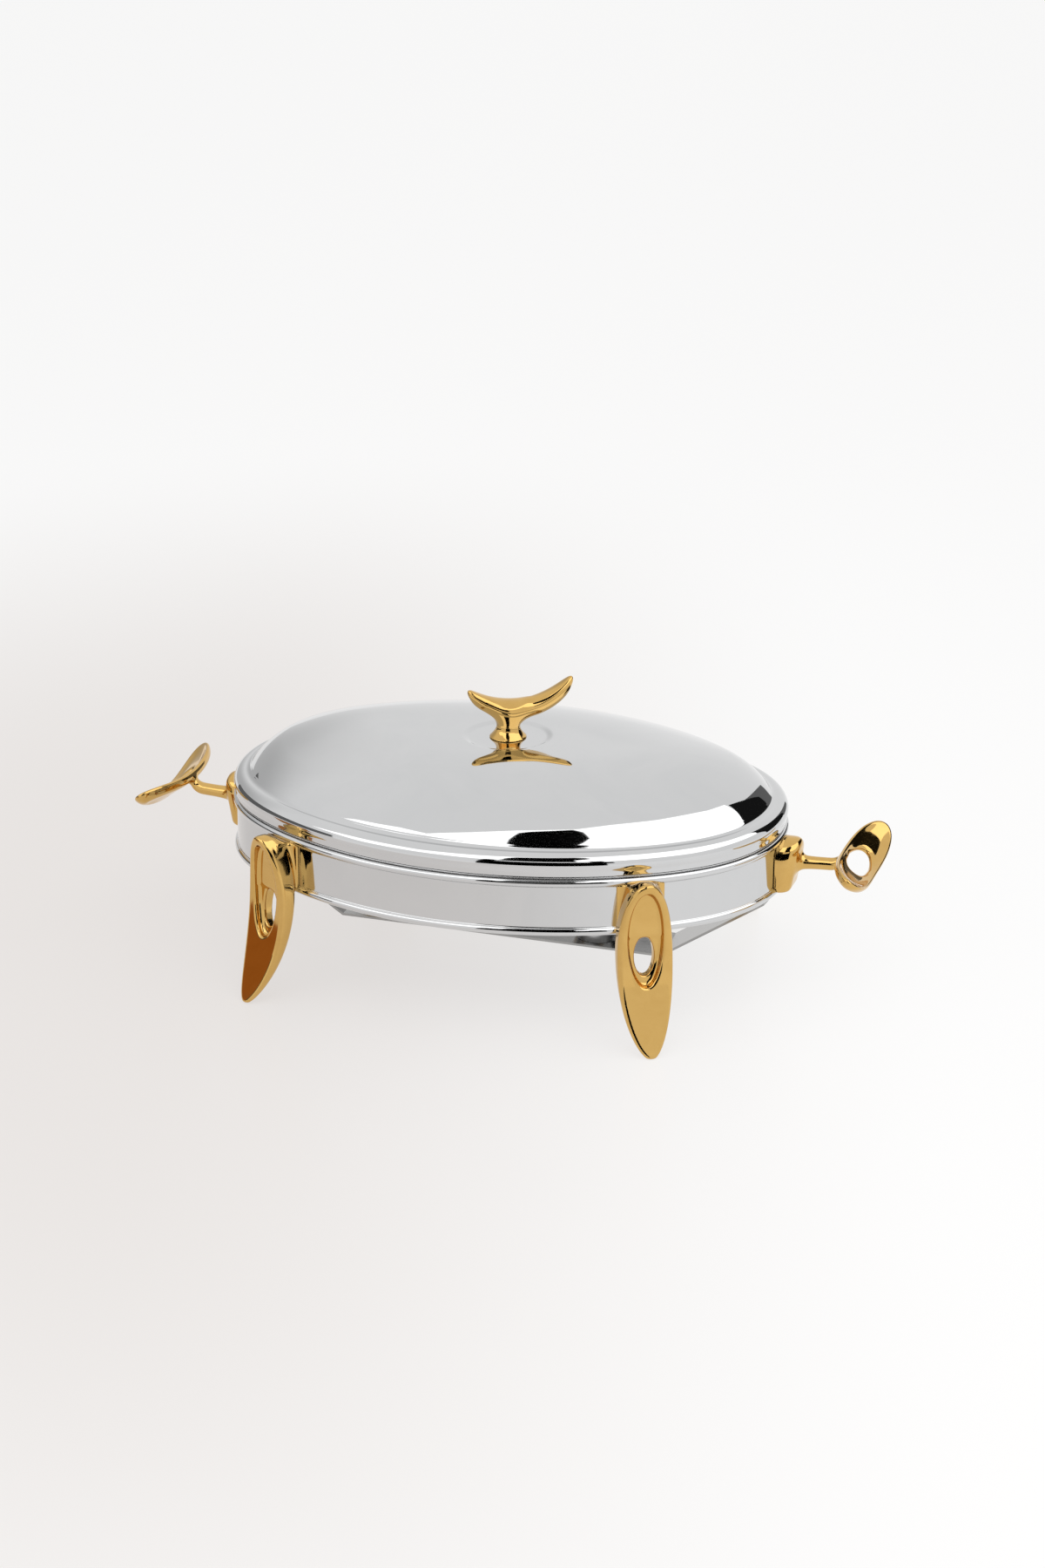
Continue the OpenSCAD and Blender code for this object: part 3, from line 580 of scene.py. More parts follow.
# %% Pan profile
PAN_WALL = 1.0
PAN_CORNER = 14.0
PAN_DRAFT = 12.0
PAN_DEPTH = 46.0
FLANGE_OUT = 0.2
FLANGE_Z = 105.3
FLANGE_ROUND = 0.25
STEP_OUT = -1.9
STEP_RISE = 2.3
STEP_WIDTH = 3.7
STEP_FOOT_BEND = 0.6
STEP_TOP_BEND = 0.8
WALL_START = 0.05
STEP_TOP = FLANGE_Z + STEP_RISE
PAN_FLOOR = STEP_TOP - PAN_DEPTH + PAN_WALL
FLOOR_OFFSETS = (-40.0, -60.0, -80.0)


def pan_path():
    slope = math.radians(PAN_DRAFT)
    wall_in = STEP_OUT - STEP_WIDTH + PAN_WALL - PAN_WALL / math.cos(slope)
    corner_z = PAN_FLOOR + PAN_CORNER
    corner_out = wall_in - (STEP_TOP - corner_z) * math.tan(slope) - PAN_CORNER / math.cos(slope)
    turn_in = arc((corner_out, corner_z), PAN_CORNER, -PAN_DRAFT, -90, steps=20)
    flange = np.array([FLANGE_OUT, FLANGE_Z])
    step_foot = np.array([STEP_OUT, FLANGE_Z])
    step_edge = np.array([STEP_OUT, STEP_TOP])
    inner_edge = np.array([wall_in, STEP_TOP])
    return np.concatenate([
        [flange - [FLANGE_ROUND, 0.0]],
        bend(flange, step_foot, step_edge, STEP_FOOT_BEND, steps=4),
        bend(step_foot, step_edge, inner_edge, STEP_TOP_BEND, steps=6),
        bend(step_edge, inner_edge, turn_in[0], STEP_TOP_BEND, steps=6),
        np.linspace(inner_edge + WALL_START * (turn_in[0] - inner_edge), turn_in[0], num=10)[1:-1],
        turn_in,
        [[offset, PAN_FLOOR] for offset in FLOOR_OFFSETS],
    ])


print("pan floor at", round(PAN_FLOOR, 2), "mm above the table")

# %% Pan sheet
FLOOR_RINGS = (20.0, 8.0, 0.5)


def pan_rows():
    path = pan_path()
    upper = [oval_row(*spot) for spot in path]
    lower = [oval_row(*spot) for spot in path + PAN_WALL * path_normals(path)]
    floor = [round_row(radius, PAN_FLOOR) for radius in FLOOR_RINGS]
    under = [row - [0, 0, PAN_WALL] for row in floor]
    edge = [oval_row(FLANGE_OUT, FLANGE_Z - PAN_WALL * share) for share in (0.8, 0.5, 0.2)]
    return upper + floor + under[::-1] + lower[::-1] + edge


make_piece("pan_sheet", *close_rows(pan_rows()), SATIN, "pan", "food_pan", "satin_steel")

# %% [markdown]
# ## Castings from distances
# The legs, handles and knob are polished castings: every edge is rounded and every joint has a fillet.
# They could be modelled with loops and subdivision, but fillets between forms that cross at odd
# angles are hard to draw that way. So each casting is written as a signed distance, below zero inside the
# metal. Forms are joined and cut with soft minimum and maximum, whose width sets the fillet.

# %% Soft joins and cuts
LEAST_STEEP = 0.6


def soft_max(a, b, width):
    gap = np.maximum(width - np.abs(a - b), 0.0) / width
    return np.maximum(a, b) + gap * gap * width * 0.25


def soft_min(a, b, width):
    return -soft_max(-a, -b, width)


def oval_distance(u, v, half_u, half_v, power=2.0):
    u = np.abs(u) / half_u
    v = np.abs(v) / half_v
    level = u**power + v**2 - 1.0
    steep = np.hypot(power * u ** (power - 1) / half_u, 2 * v / half_v)
    return level / np.maximum(steep, LEAST_STEEP / half_v)


print("a soft cut of width 2 mm moves a corner in by", float(soft_max(0.0, 0.0, 2.0)), "mm each way")

# %% [markdown]
# ### A skin over the distance
# The field has to become a mesh. The usual way, marching cubes, leaves thin slivers that a polished surface
# shows as dents. Here every grid cell that the surface crosses gets one point, and neighbouring cells are
# joined with quads. Each point is then pulled exactly onto the surface, and the slope of the distance gives
# the true surface direction, so reflections stay clean.

# %% Points and quads of the skin
SKIN_STEP = 0.7


def cell_corners(values):
    n = [size - 1 for size in values.shape]
    return [values[i:i + n[0], j:j + n[1], k:k + n[2]] for i in (0, 1) for j in (0, 1) for k in (0, 1)]


def cell_points(values, low, mixed):
    shift = np.array([(i, j, k) for i in (0, 1) for j in (0, 1) for k in (0, 1)], float)
    corner = [c[mixed] for c in cell_corners(values)]
    total = np.zeros((mixed.sum(), 3))
    count = np.zeros(mixed.sum())
    for a in range(8):
        for b in range(a + 1, 8):
            if abs(shift[a] - shift[b]).sum() != 1:
                continue
            cut = (corner[a] < 0) != (corner[b] < 0)
            t = np.where(cut, corner[a] / np.where(cut, corner[a] - corner[b], 1.0), 0.0)[:, None]
            total += np.where(cut[:, None], shift[a] + t * (shift[b] - shift[a]), 0.0)
            count += cut
    return low + SKIN_STEP * (np.argwhere(mixed) + total / count[:, None])


def cell_quads(inside, index):
    quads = []
    for axis in range(3):
        first = np.swapaxes(inside, 0, axis)
        cells = np.swapaxes(index, 0, axis)
        change = first[1:, 1:-1, 1:-1] != first[:-1, 1:-1, 1:-1]
        i, j, k = np.nonzero(change)
        around = [cells[i, j, k], cells[i, j + 1, k], cells[i, j + 1, k + 1], cells[i, j, k + 1]]
        ring = np.stack(around, axis=-1)
        flip = first[i, j + 1, k + 1] != (axis > 0)
        quads.append(np.where(flip[:, None], ring, ring[:, ::-1]))
    return np.concatenate(quads)


print("skin step", SKIN_STEP, "mm")

# %% Skin pulled onto the surface
PULLS = 5
PULL_SHARE = 0.8
PROBE = 0.03
LEAST_SLOPE = 0.05


def slope_of(field, points):
    steps = []
    for axis in range(3):
        move = np.zeros(3)
        move[axis] = PROBE
        steps.append((field(*(points + move).T) - field(*(points - move).T)) / (2 * PROBE))
    return np.column_stack(steps)


def skin(field, low, high):
    low = np.asarray(low, float)
    axes = [np.arange(a, b + SKIN_STEP, SKIN_STEP) for a, b in zip(low, high)]
    values = field(*np.meshgrid(*axes, indexing="ij"))
    inside = values < 0
    filled = sum(c.astype(int) for c in cell_corners(inside))
    mixed = (filled > 0) & (filled < 8)
    index = np.full(mixed.shape, -1)
    index[mixed] = np.arange(mixed.sum())
    points = cell_points(values, low, mixed)
    for _ in range(PULLS):
        slope = slope_of(field, points)
        size = np.maximum((slope**2).sum(1), LEAST_SLOPE)
        pull = np.clip(field(*points.T) / size, -SKIN_STEP, SKIN_STEP)
        points -= PULL_SHARE * pull[:, None] * slope
    print("distance left after the pulls:", round(float(np.abs(field(*points.T)).max()), 4), "mm at most")
    slope = slope_of(field, points)
    return points, cell_quads(inside, index), slope / np.linalg.norm(slope, axis=1, keepdims=True)


def turn_about_z(angle):
    cos = math.cos(angle)
    sin = math.sin(angle)
    return np.array([[cos, -sin, 0], [sin, cos, 0], [0, 0, 1]])


def place(points, normals, turned, move, flip=(1, 1, 1)):
    return (points @ turned.T + move) * flip, normals @ turned.T * flip


print("each point is pulled", PULLS, "times")

# %% [markdown]
# ## The leaf legs
# Each leg is a leaf that curves out to a narrow foot. A long dished oval is sunk into its face, with a hole
# in its lower part, and a short neck spreads into a saddle on the band. The flanks carry a bevel.
# It could be lofted from many outlines, but seen from the side its front and back are two large circles, and
# seen from the front it is a slim oval, so three simple distances give the whole leaf.

# %% Leaf
LEAF_TOP = 106.2
LEAF_HALF = 17.0
LEAF_SKEW = 1.1
LEAF_POWER = 2.2
FOOT_CUT = 1.3
LEAF_LENGTH = LEAF_TOP + FOOT_CUT
SHARE_LIMITS = (1e-4, 1.4)
FRONT_CENTRE = (145.5, 68.48)
FRONT_RADIUS = 130.0
FRONT_ROUND = 1.6
BACK_CENTRE = (128.6, 77.94)
BACK_RADIUS = 126.0
BACK_ROUND = 5.0
TOP_LEAN = 0.9
LEAF_BEVEL = 2.4
BEVEL_SHARE = 0.62
BEVEL_ROUND = 1.4
RECESS_Z = 69.8
RECESS_HALF = (30.0, 10.6)
RECESS_DEPTH = 4.5
RECESS_FLOOR_ROUND = 3.0
RECESS_EDGE_ROUND = 2.0
HOLE_Z = 57.6
HOLE_HALF = (12.0, 6.0)
HOLE_ROUND = 1.6


def leaf_outline(y, z):
    share = np.clip((z + FOOT_CUT) / LEAF_LENGTH, *SHARE_LIMITS)
    u = 2 * share**LEAF_SKEW - 1
    return oval_distance(u * LEAF_LENGTH / 2, y, LEAF_LENGTH / 2, LEAF_HALF, LEAF_POWER)


def leaf_blade(x, y, z):
    across = np.hypot(x - FRONT_CENTRE[0], z - FRONT_CENTRE[1])
    front = FRONT_RADIUS - across
    lean = np.maximum(0.0, z - (BAND_TOP - BEAD_RADIUS)) * TOP_LEAN
    back = np.hypot(x - lean - BACK_CENTRE[0], z - BACK_CENTRE[1]) - BACK_RADIUS
    side = leaf_outline(y, z)
    blade = soft_max(back, side, BACK_ROUND)
    blade = soft_max(blade, front, FRONT_ROUND)
    blade = soft_max(blade, (front + side + LEAF_BEVEL * BEVEL_SHARE) / math.sqrt(2), BEVEL_ROUND)
    floor = oval_distance(z - RECESS_Z, y, *RECESS_HALF)
    dish = soft_max(floor, across - FRONT_RADIUS - RECESS_DEPTH, RECESS_FLOOR_ROUND)
    blade = soft_max(blade, -dish, RECESS_EDGE_ROUND)
    return soft_max(blade, -oval_distance(z - HOLE_Z, y, *HOLE_HALF), HOLE_ROUND)


leaf_depth = (FRONT_CENTRE[0] - FRONT_RADIUS) - (BACK_CENTRE[0] - BACK_RADIUS)
print("leaf about", round(leaf_depth, 1), "mm deep and", 2 * LEAF_HALF, "mm wide")

# %% Neck and saddle
SADDLE_HALF = 14.5
SADDLE_EDGE = 1.0
SADDLE_INSET = 0.5
SADDLE_ROUND = 1.0
NECK_HALF = 8.5
NECK_FILLET = 8.0
NECK_END_ROUND = 2.0
LEG_FILLET = 3.0
SOLE_ROUND = 1.2
BAND_MIDDLE = BAND_BOTTOM + BAND_HEIGHT / 2
TOUCH = 0.08


def leg_neck(x, y, z):
    half_height = BAND_HEIGHT / 2 - BEAD_RADIUS - SADDLE_INSET
    ends = np.abs(z - BAND_MIDDLE) - half_height
    neck = np.maximum(np.abs(y) - NECK_HALF, x - (FRONT_CENTRE[0] - FRONT_RADIUS - RECESS_DEPTH))
    saddle = soft_max(np.abs(y) - SADDLE_HALF, x - SADDLE_EDGE, SADDLE_ROUND)
    return soft_max(soft_min(neck, saddle, NECK_FILLET), ends, NECK_END_ROUND)


def clear_of_band(shape, x, y, z, radius):
    offset = np.hypot(x + radius, y) - radius
    shape = np.maximum(shape, TOUCH - offset)
    for bead_z in (BAND_BOTTOM + BEAD_RADIUS, BAND_TOP - BEAD_RADIUS):
        shape = np.maximum(shape, BEAD_RADIUS + TOUCH - np.hypot(offset + BAND_WALL / 2, z - bead_z))
    return shape


def leg_field(x, y, z):
    leg = soft_min(leaf_blade(x, y, z), leg_neck(x, y, z), LEG_FILLET)
    return soft_max(clear_of_band(leg, x, y, z, SIDE_RADIUS), -z, SOLE_ROUND)


print("saddle", 2 * SADDLE_HALF, "mm wide,", TOUCH, "mm off the band")

# %% Four legs
LEG_ANGLE = math.radians(60.0)
LEG_LOW = (-2.1, -18.2, -1.05)
LEG_HIGH = (36.4, 18.2, 108.15)


def make_legs():
    points, quads, normals = skin(leg_field, LEG_LOW, LEG_HIGH)
    turned = turn_about_z(-LEG_ANGLE)
    move = (SIDE_RADIUS * turned[0, 0], SIDE_RADIUS * turned[1, 0] + SIDE_RADIUS - HALF_WIDTH, 0)
    for depth, y in (("front", 1), ("rear", -1)):
        for side, x in (("right", 1), ("left", -1)):
            spots, outward = place(points, normals, turned, move, (x, y, 1))
            faces = quads if x * y > 0 else quads[:, ::-1]
            name = f"leg_{depth}_{side}"
            make_piece("leaf_" + name, spots, faces, GOLD, "stand", name, "gold_casting", outward)


make_legs()

# %% [markdown]
# ## The handles
# A handle is one casting as well: a boss with an arched top on the band, a thin stem that flares at both
# ends, and a crescent grip with a hole for a finger, a little to one side of its middle. The grip's face is
# dished towards the hole, and it leans back so that it fills the palm. A bent and bevelled plate could give
# the grip, but not its hollow faces and blunt ends, so it is a distance too. The knob uses it again.

# %% Crescent
CRESCENT_POWER = 3.2
TIP_LIMIT = 0.002
FRONT_TIP = 0.5
BACK_TIP = 0.8
BOW_LIMIT = 1.2
DISH_SPREAD = 0.75


def crescent(face, along, across, half, thickness, bow, dish, edge, crown):
    half_length, half_width = half
    u = np.abs(along) / half_length
    bowed = np.minimum(u, BOW_LIMIT)
    lift = bow * bowed**2
    fall = 1.0 / np.hypot(1.0, 2 * bow * bowed / half_length)
    taper = np.sqrt(np.clip(1.0 - u**CRESCENT_POWER, TIP_LIMIT, 1.0))
    above = thickness / 2 * (FRONT_TIP + (1 - FRONT_TIP) * taper) + edge / 8
    above = above - crown * (across / half_width) ** 2
    below = thickness / 2 * (BACK_TIP + (1 - BACK_TIP) * taper)
    ring = np.clip(1.0 - (u**CRESCENT_POWER + (across / half_width) ** 2), 0.0, 1.0)
    hollow = smooth_step(ring / DISH_SPREAD)
    front = (face - lift - above + dish[0] * hollow) * fall
    back = (lift - below - face + dish[1] * hollow) * fall
    side = oval_distance(along, across, half_length, half_width, CRESCENT_POWER)
    return soft_max(soft_max(back, side, thickness), front, edge)


print("crescent ends keep", FRONT_TIP, "of the front and", BACK_TIP, "of the back")

# %% Boss and stem
BOSS_HALF = 15.0
BOSS_REACH = 14.5
BOSS_SLANT = 6.0
BOSS_CORNER = 9.0
BOSS_EDGE = 1.2
BOSS_ROUND = 7.0
BOSS_BOTTOM_ROUND = 4.0
STEM_RADIUS = 3.9
STEM_FLARE = 5.8
STEM_Z = 87.0
GRIP_OUT = 47.5
GRIP_Z = 89.0


def boss_block(x, y, z):
    height = BAND_HEIGHT / 2 - BOSS_EDGE
    reach = BOSS_REACH - BOSS_SLANT * (BAND_MIDDLE + height - z) / (2 * height)
    px = x - (reach - BOSS_CORNER)
    py = np.abs(y) - (BOSS_HALF - BOSS_CORNER)
    plan = np.minimum(np.maximum(px, py), 0.0) - BOSS_CORNER
    plan = plan + np.hypot(np.maximum(px, 0.0), np.maximum(py, 0.0))
    up = np.maximum(z - (BAND_MIDDLE + height - BOSS_HALF), 0.0)
    arch = np.hypot(y, up) - BOSS_HALF
    return soft_max(soft_max(plan, arch, BOSS_ROUND), BAND_MIDDLE - height - z, BOSS_BOTTOM_ROUND)


def stem_rod(x, y, z):
    start = np.array([BOSS_REACH - BOSS_SLANT, 0.0, STEM_Z])
    run = np.array([GRIP_OUT, 0.0, GRIP_Z]) - start
    length = np.linalg.norm(run)
    run /= length
    t = np.clip((x - start[0]) * run[0] + (z - start[2]) * run[2], 0.0, length)
    away = np.sqrt((x - start[0] - t * run[0]) ** 2 + y**2 + (z - start[2] - t * run[2]) ** 2)
    return away - (STEM_RADIUS + (STEM_FLARE - STEM_RADIUS) * np.abs(2 * t / length - 1) ** 3)


print("boss reaches", BOSS_REACH, "mm, stem", 2 * STEM_RADIUS, "mm thick")

# %% Both handles
GRIP = {"half": (52.0, 12.9), "thickness": 9.0, "bow": 10.0, "dish": (2.2, 2.6), "edge": 2.6, "crown": 0.0}
GRIP_TILT = math.radians(54.0)
GRIP_HOLE = (18.0, 7.2)
HOLE_SHIFT = 2.5
GRIP_HOLE_ROUND = 3.2
STEM_FILLET = 5.0
GRIP_FILLET = 5.0
HANDLE_LOW = (-2.6, -55.3, 67.0)
HANDLE_HIGH = (65.8, 55.3, 112.0)


def handle_field(x, y, z):
    dx = x - GRIP_OUT
    dz = z - GRIP_Z
    face = dx * math.cos(GRIP_TILT) + dz * math.sin(GRIP_TILT)
    across = dz * math.cos(GRIP_TILT) - dx * math.sin(GRIP_TILT)
    handle = soft_min(boss_block(x, y, z), stem_rod(x, y, z), STEM_FILLET)
    handle = soft_min(handle, crescent(face, y, across, **GRIP), GRIP_FILLET)
    hole = np.maximum(oval_distance(y - HOLE_SHIFT, across, *GRIP_HOLE), np.abs(face) - 2 * GRIP["thickness"])
    return clear_of_band(soft_max(handle, -hole, GRIP_HOLE_ROUND), x, y, z, END_RADIUS)


def make_handles():
    points, quads, normals = skin(handle_field, HANDLE_LOW, HANDLE_HIGH)
    for side, x in (("right", 1), ("left", -1)):
        spots, outward = place(points, normals, np.eye(3), (HALF_LENGTH, 0, 0), (x, 1, 1))
        faces = quads if x > 0 else quads[:, ::-1]
        name = "handle_" + side
        make_piece("cast_" + name, spots, faces, GOLD, "stand", name, "gold_casting", outward)


make_handles()

# %% [markdown]
# ## The knob
# The knob is a bowed crescent with a rounded top on a round foot that narrows upwards. The two could be
# separate meshes pushed into each other, but on the casting the foot runs into the crescent without an edge,
# so they are joined with a wide fillet. The crescent leans a little and sits off the foot's middle.

# %% Knob
KNOB = {"half": (35.0, 8.6), "thickness": 11.0, "bow": 14.5, "dish": (0.0, 0.0), "edge": 4.0, "crown": 3.6}
KNOB_ANGLE = math.radians(30.0)
KNOB_LEAN = math.radians(4.5)
KNOB_HEIGHT = 18.0
KNOB_SHIFT = 9.0
KNOB_FILLET = 9.0
KNOB_GAP = 0.15
KNOB_LOW = (-29.4, -14.7, -1.05)
KNOB_HIGH = (47.6, 14.7, 42.0)
FOOT_RADIUS = 11.8
FOOT_EDGE = 0.3
FOOT_POWER = 2.0
FOOT_ROUND = 1.0
FOOT_SCALE = 0.9
WAIST_RADIUS = 6.8


def knob_field(x, y, z):
    dx = x - KNOB_SHIFT
    dz = z - KNOB_HEIGHT
    along = dx * math.cos(KNOB_LEAN) + dz * math.sin(KNOB_LEAN)
    face = dz * math.cos(KNOB_LEAN) - dx * math.sin(KNOB_LEAN)
    bar = crescent(face, along, y, **KNOB)
    u = np.clip((z - FOOT_EDGE) / (KNOB_HEIGHT - FOOT_EDGE) * 2 - 1, -1.0, 1.0)
    radius = WAIST_RADIUS + (FOOT_RADIUS - WAIST_RADIUS) * np.where(u < 0, np.abs(u) ** FOOT_POWER, 0.0)
    foot = soft_max(np.hypot(x, y) - radius, z - KNOB_HEIGHT, FOOT_ROUND)
    return soft_max(soft_min(foot * FOOT_SCALE, bar, KNOB_FILLET), -z, FOOT_ROUND)


def make_knob():
    points, quads, normals = skin(knob_field, KNOB_LOW, KNOB_HIGH)
    seat = LID_TOP - DIMPLE_DEPTH + KNOB_GAP
    spots, outward = place(points, normals, turn_about_z(KNOB_ANGLE), (0, 0, seat))
    make_piece("crescent_knob", spots, quads, GOLD, "lid", "lid_knob", "gold_casting", outward)


make_knob()

# %% [markdown]
# ## Burner parts and fasteners
# The strap, the cups, the rivets, the screws and the washers could be drawn again, but they have the right
# shapes already, so their solids stay. They get their finishes, the strap's with painted shade in its darker
# colour, and a small Bevel modifier breaks their edges so that they catch light as rolled and turned steel
# does.

# %% Finishes for the solids that stay
FINISHES = {
    # The strap's steel is darkened with painted shade as well as being a duller finish.
    "burner_strap": (STRIP_WITH_PAINTED_SHADE, 0.3),
    "burner_cup_left": (SATIN, 0.15),
    "burner_cup_right": (SATIN, 0.15),
    "burner_rivets": (FASTENER, 0.2),
    "leg_screws": (FASTENER, 0.2),
    "leg_washers": (FASTENER, 0.1),
    "handle_screws": (FASTENER, 0.2),
    "handle_washers": (FASTENER, 0.1),
    "knob_screw": (FASTENER, 0.2),
    "knob_washer": (FASTENER, 0.1),
}
EDGE_SEGMENTS = 2
EDGE_ANGLE = math.radians(40.0)


def finish_solids():
    for name, (material, width) in FINISHES.items():
        solid = nodes[name]
        solid.data.materials.clear()
        solid.data.materials.append(material)
        edge = solid.modifiers.new("broken_edge", "BEVEL")
        edge.width = width * MM
        edge.segments = EDGE_SEGMENTS
        edge.limit_method = "ANGLE"
        edge.angle_limit = EDGE_ANGLE
    print("finished", len(FINISHES), "solids")


finish_solids()

# %% [markdown]
# ## Studio
# A mirror shows the room, so the room is part of the look. It is a pale table in a pale room that gets
# darker towards the left, with one wide soft light and a few cards.
# The table could be lit like any other surface, but then it would look grey beside the walls. So the
# camera and the reflections see mostly a set tone, with painted shade that darkens it towards the left near
# the dish, and the rest of the table keeps the shadow.

# %% Table tone
SHADE_LEFT = (0.80, 0.765, 0.745)
SHADE_RIGHT = (1.0, 1.0, 1.0)
SHADE_REACH = (-0.25, 0.3)
SHADE_FADE = (0.35, 1.3)
VIEW_RIGHT = (math.cos(VIEW_AROUND), math.sin(VIEW_AROUND), 0.0)
WHITE = (1.0, 1.0, 1.0, 1.0)


def seen_rays(tree):
    path = add(tree, "ShaderNodeLightPath")
    seen = add(tree, "ShaderNodeMath", [
        (0, path.outputs["Is Camera Ray"]), (1, path.outputs["Is Glossy Ray"]),
    ], operation="MAXIMUM")
    return add(tree, "ShaderNodeMath", [
        (0, seen.outputs["Value"]), (1, path.outputs["Is Transmission Ray"]),
    ], operation="MAXIMUM").outputs["Value"]


def smooth_range(tree, value, low, high):
    return add(tree, "ShaderNodeMapRange", [
        ("Value", value), ("From Min", low), ("From Max", high),
    ], interpolation_type="SMOOTHSTEP").outputs["Result"]


# Painted shade: the tone seen by the camera darkens towards the left of the dish and fades to white away from
# it.
def table_tone_with_painted_shade(tree):
    spot = add(tree, "ShaderNodeTexCoord").outputs["Object"]
    reach = add(tree, "ShaderNodeVectorMath", [(0, spot), (1, VIEW_RIGHT)], operation="DOT_PRODUCT")
    share = smooth_range(tree, reach.outputs["Value"], *SHADE_REACH)
    shade = two_tones(tree, share, SHADE_LEFT, SHADE_RIGHT)
    away = add(tree, "ShaderNodeVectorMath", [(0, spot)], operation="LENGTH")
    far = smooth_range(tree, away.outputs["Value"], *SHADE_FADE)
    mix = add(tree, "ShaderNodeMix", data_type="RGBA")
    tree.links.new(far, mix.inputs["Factor"])
    tree.links.new(shade, mix.inputs["A"])
    mix.inputs["B"].default_value = WHITE
    return mix.outputs["Result"]


print("table tone from", SHADE_LEFT, "to", SHADE_RIGHT)

# %% Table
TABLE_SIZE = 20.0
TABLE_SHOWN = 0.8
TABLE_COLOUR = (0.9, 0.89, 0.88, 1.0)
TABLE_ROUGHNESS = 0.3
TABLE_GLOSS = 0.3


def table_top():
    material = bpy.data.materials.new("table_top")
    material.use_nodes = True
    tree = material.node_tree
    shader = tree.nodes["Principled BSDF"]
    shader.inputs["Roughness"].default_value = TABLE_ROUGHNESS
    shader.inputs["Specular IOR Level"].default_value = TABLE_GLOSS
    shader.inputs["Base Color"].default_value = TABLE_COLOUR
    glow = add(tree, "ShaderNodeEmission", [("Color", table_tone_with_painted_shade(tree)), ("Strength", 1.0)])
    share = add(tree, "ShaderNodeMath", [(0, seen_rays(tree)), (1, TABLE_SHOWN)], operation="MULTIPLY")
    mix = add(tree, "ShaderNodeMixShader", [
        (0, share.outputs["Value"]), (1, shader.outputs["BSDF"]), (2, glow.outputs["Emission"]),
    ])
    tree.links.new(mix.outputs["Shader"], tree.nodes["Material Output"].inputs["Surface"])
    return material


def make_table():
    size = TABLE_SIZE
    corners = [(-size, -size, 0), (size, -size, 0), (size, size, 0), (-size, size, 0)]
    mesh = bpy.data.meshes.new("table")
    mesh.from_pydata(corners, [], [(0, 1, 2, 3)])
    mesh.materials.append(table_top())
    table = bpy.data.objects.new("table", mesh)
    bpy.context.scene.collection.objects.link(table)


make_table()
print("table half size", TABLE_SIZE, "m")

# %% [markdown]
# ### The walls
# The walls could be planes, but a world background has no corners to show in the steel. The camera and the
# reflections see it at full strength, while the light that it sheds is weaker, so that the pale table
# doesn't wash out. It gets darker towards the left rear, which is what the lid's crown reflects.

# %% Walls
ROOM_TONE = (0.93, 0.93, 0.93)
LEFT_TONE = (0.55, 0.55, 0.55)
LEFT_WALL = (-0.845, 0.528, 0.087)
LEFT_REACH = (0.743, 0.996)
ROOM_LIGHT = 0.62
LIGHT_COLOUR = (1.0, 0.99, 0.98, 1.0)


def wall_tone(tree):
    direction = add(tree, "ShaderNodeTexCoord").outputs["Generated"]
    toward_left = add(tree, "ShaderNodeVectorMath", [
        (0, direction), (1, LEFT_WALL),
    ], operation="DOT_PRODUCT")
    share = smooth_range(tree, toward_left.outputs["Value"], *LEFT_REACH)
    return two_tones(tree, share, ROOM_TONE, LEFT_TONE)


def make_room():
    world = bpy.data.worlds.new("studio")
    bpy.context.scene.world = world
    world.use_nodes = True
    tree = world.node_tree
    tree.nodes.clear()
    light = add(tree, "ShaderNodeBackground", [("Color", LIGHT_COLOUR), ("Strength", ROOM_LIGHT)])
    wall = add(tree, "ShaderNodeBackground", [("Color", wall_tone(tree)), ("Strength", 1.0)])
    mix = add(tree, "ShaderNodeMixShader", [
        (0, seen_rays(tree)), (1, light.outputs["Background"]), (2, wall.outputs["Background"]),
    ])
    add(tree, "ShaderNodeOutputWorld", [("Surface", mix.outputs["Shader"])])


make_room()
bpy.context.scene.view_settings.view_transform = "Standard"
print("room tone", ROOM_TONE, "and at the left", LEFT_TONE)

# %% [markdown]
# ### Soft light and cards
# A wide soft light hangs above the front right of the dish, and dark, grey and brown cards give the steel
# and the gold their accents. Lamps could do the lighting, but a lamp shows in a mirror as a plain disc or
# square, while a card has any outline that the steel should show. No card is seen by the camera. All but
# the soft light are left out of diffuse light and shadows too, so they change only the reflections.

# %% Card helpers
SHOULDER_SPOT = np.array([0.06, -0.09, 0.13])


def make_card(name, corners, tone, lights_room, colour=WHITE):
    mesh = bpy.data.meshes.new(name)
    mesh.from_pydata([tuple(c) for c in corners], [], [tuple(range(len(corners)))])
    material = bpy.data.materials.new(name)
    material.use_nodes = True
    tree = material.node_tree
    tree.nodes.clear()
    glow = add(tree, "ShaderNodeEmission", [("Color", colour), ("Strength", tone)])
    add(tree, "ShaderNodeOutputMaterial", [("Surface", glow.outputs["Emission"])])
    mesh.materials.append(material)
    card = bpy.data.objects.new(name, mesh)
    bpy.context.scene.collection.objects.link(card)
    card.visible_camera = False
    card.visible_diffuse = lights_room
    card.visible_shadow = lights_room


def ceiling(spots, height):
    return [SHOULDER_SPOT + height * np.array([x, y, 1.0]) for x, y in spots]


def toward(directions, distance):
    corners = []
    for around, above in directions:
        a = math.radians(around)
        e = math.radians(above)
        corners.append(SHOULDER_SPOT + distance * np.array([
            math.sin(a) * math.cos(e), -math.cos(a) * math.cos(e), math.sin(e),
        ]))
    return corners


def panel(around, above, distance):
    (a, b), (c, d) = around, above
    return toward([(a, c), (b, c), (b, d), (a, d)], distance)


print("cards are aimed from", SHOULDER_SPOT.tolist())

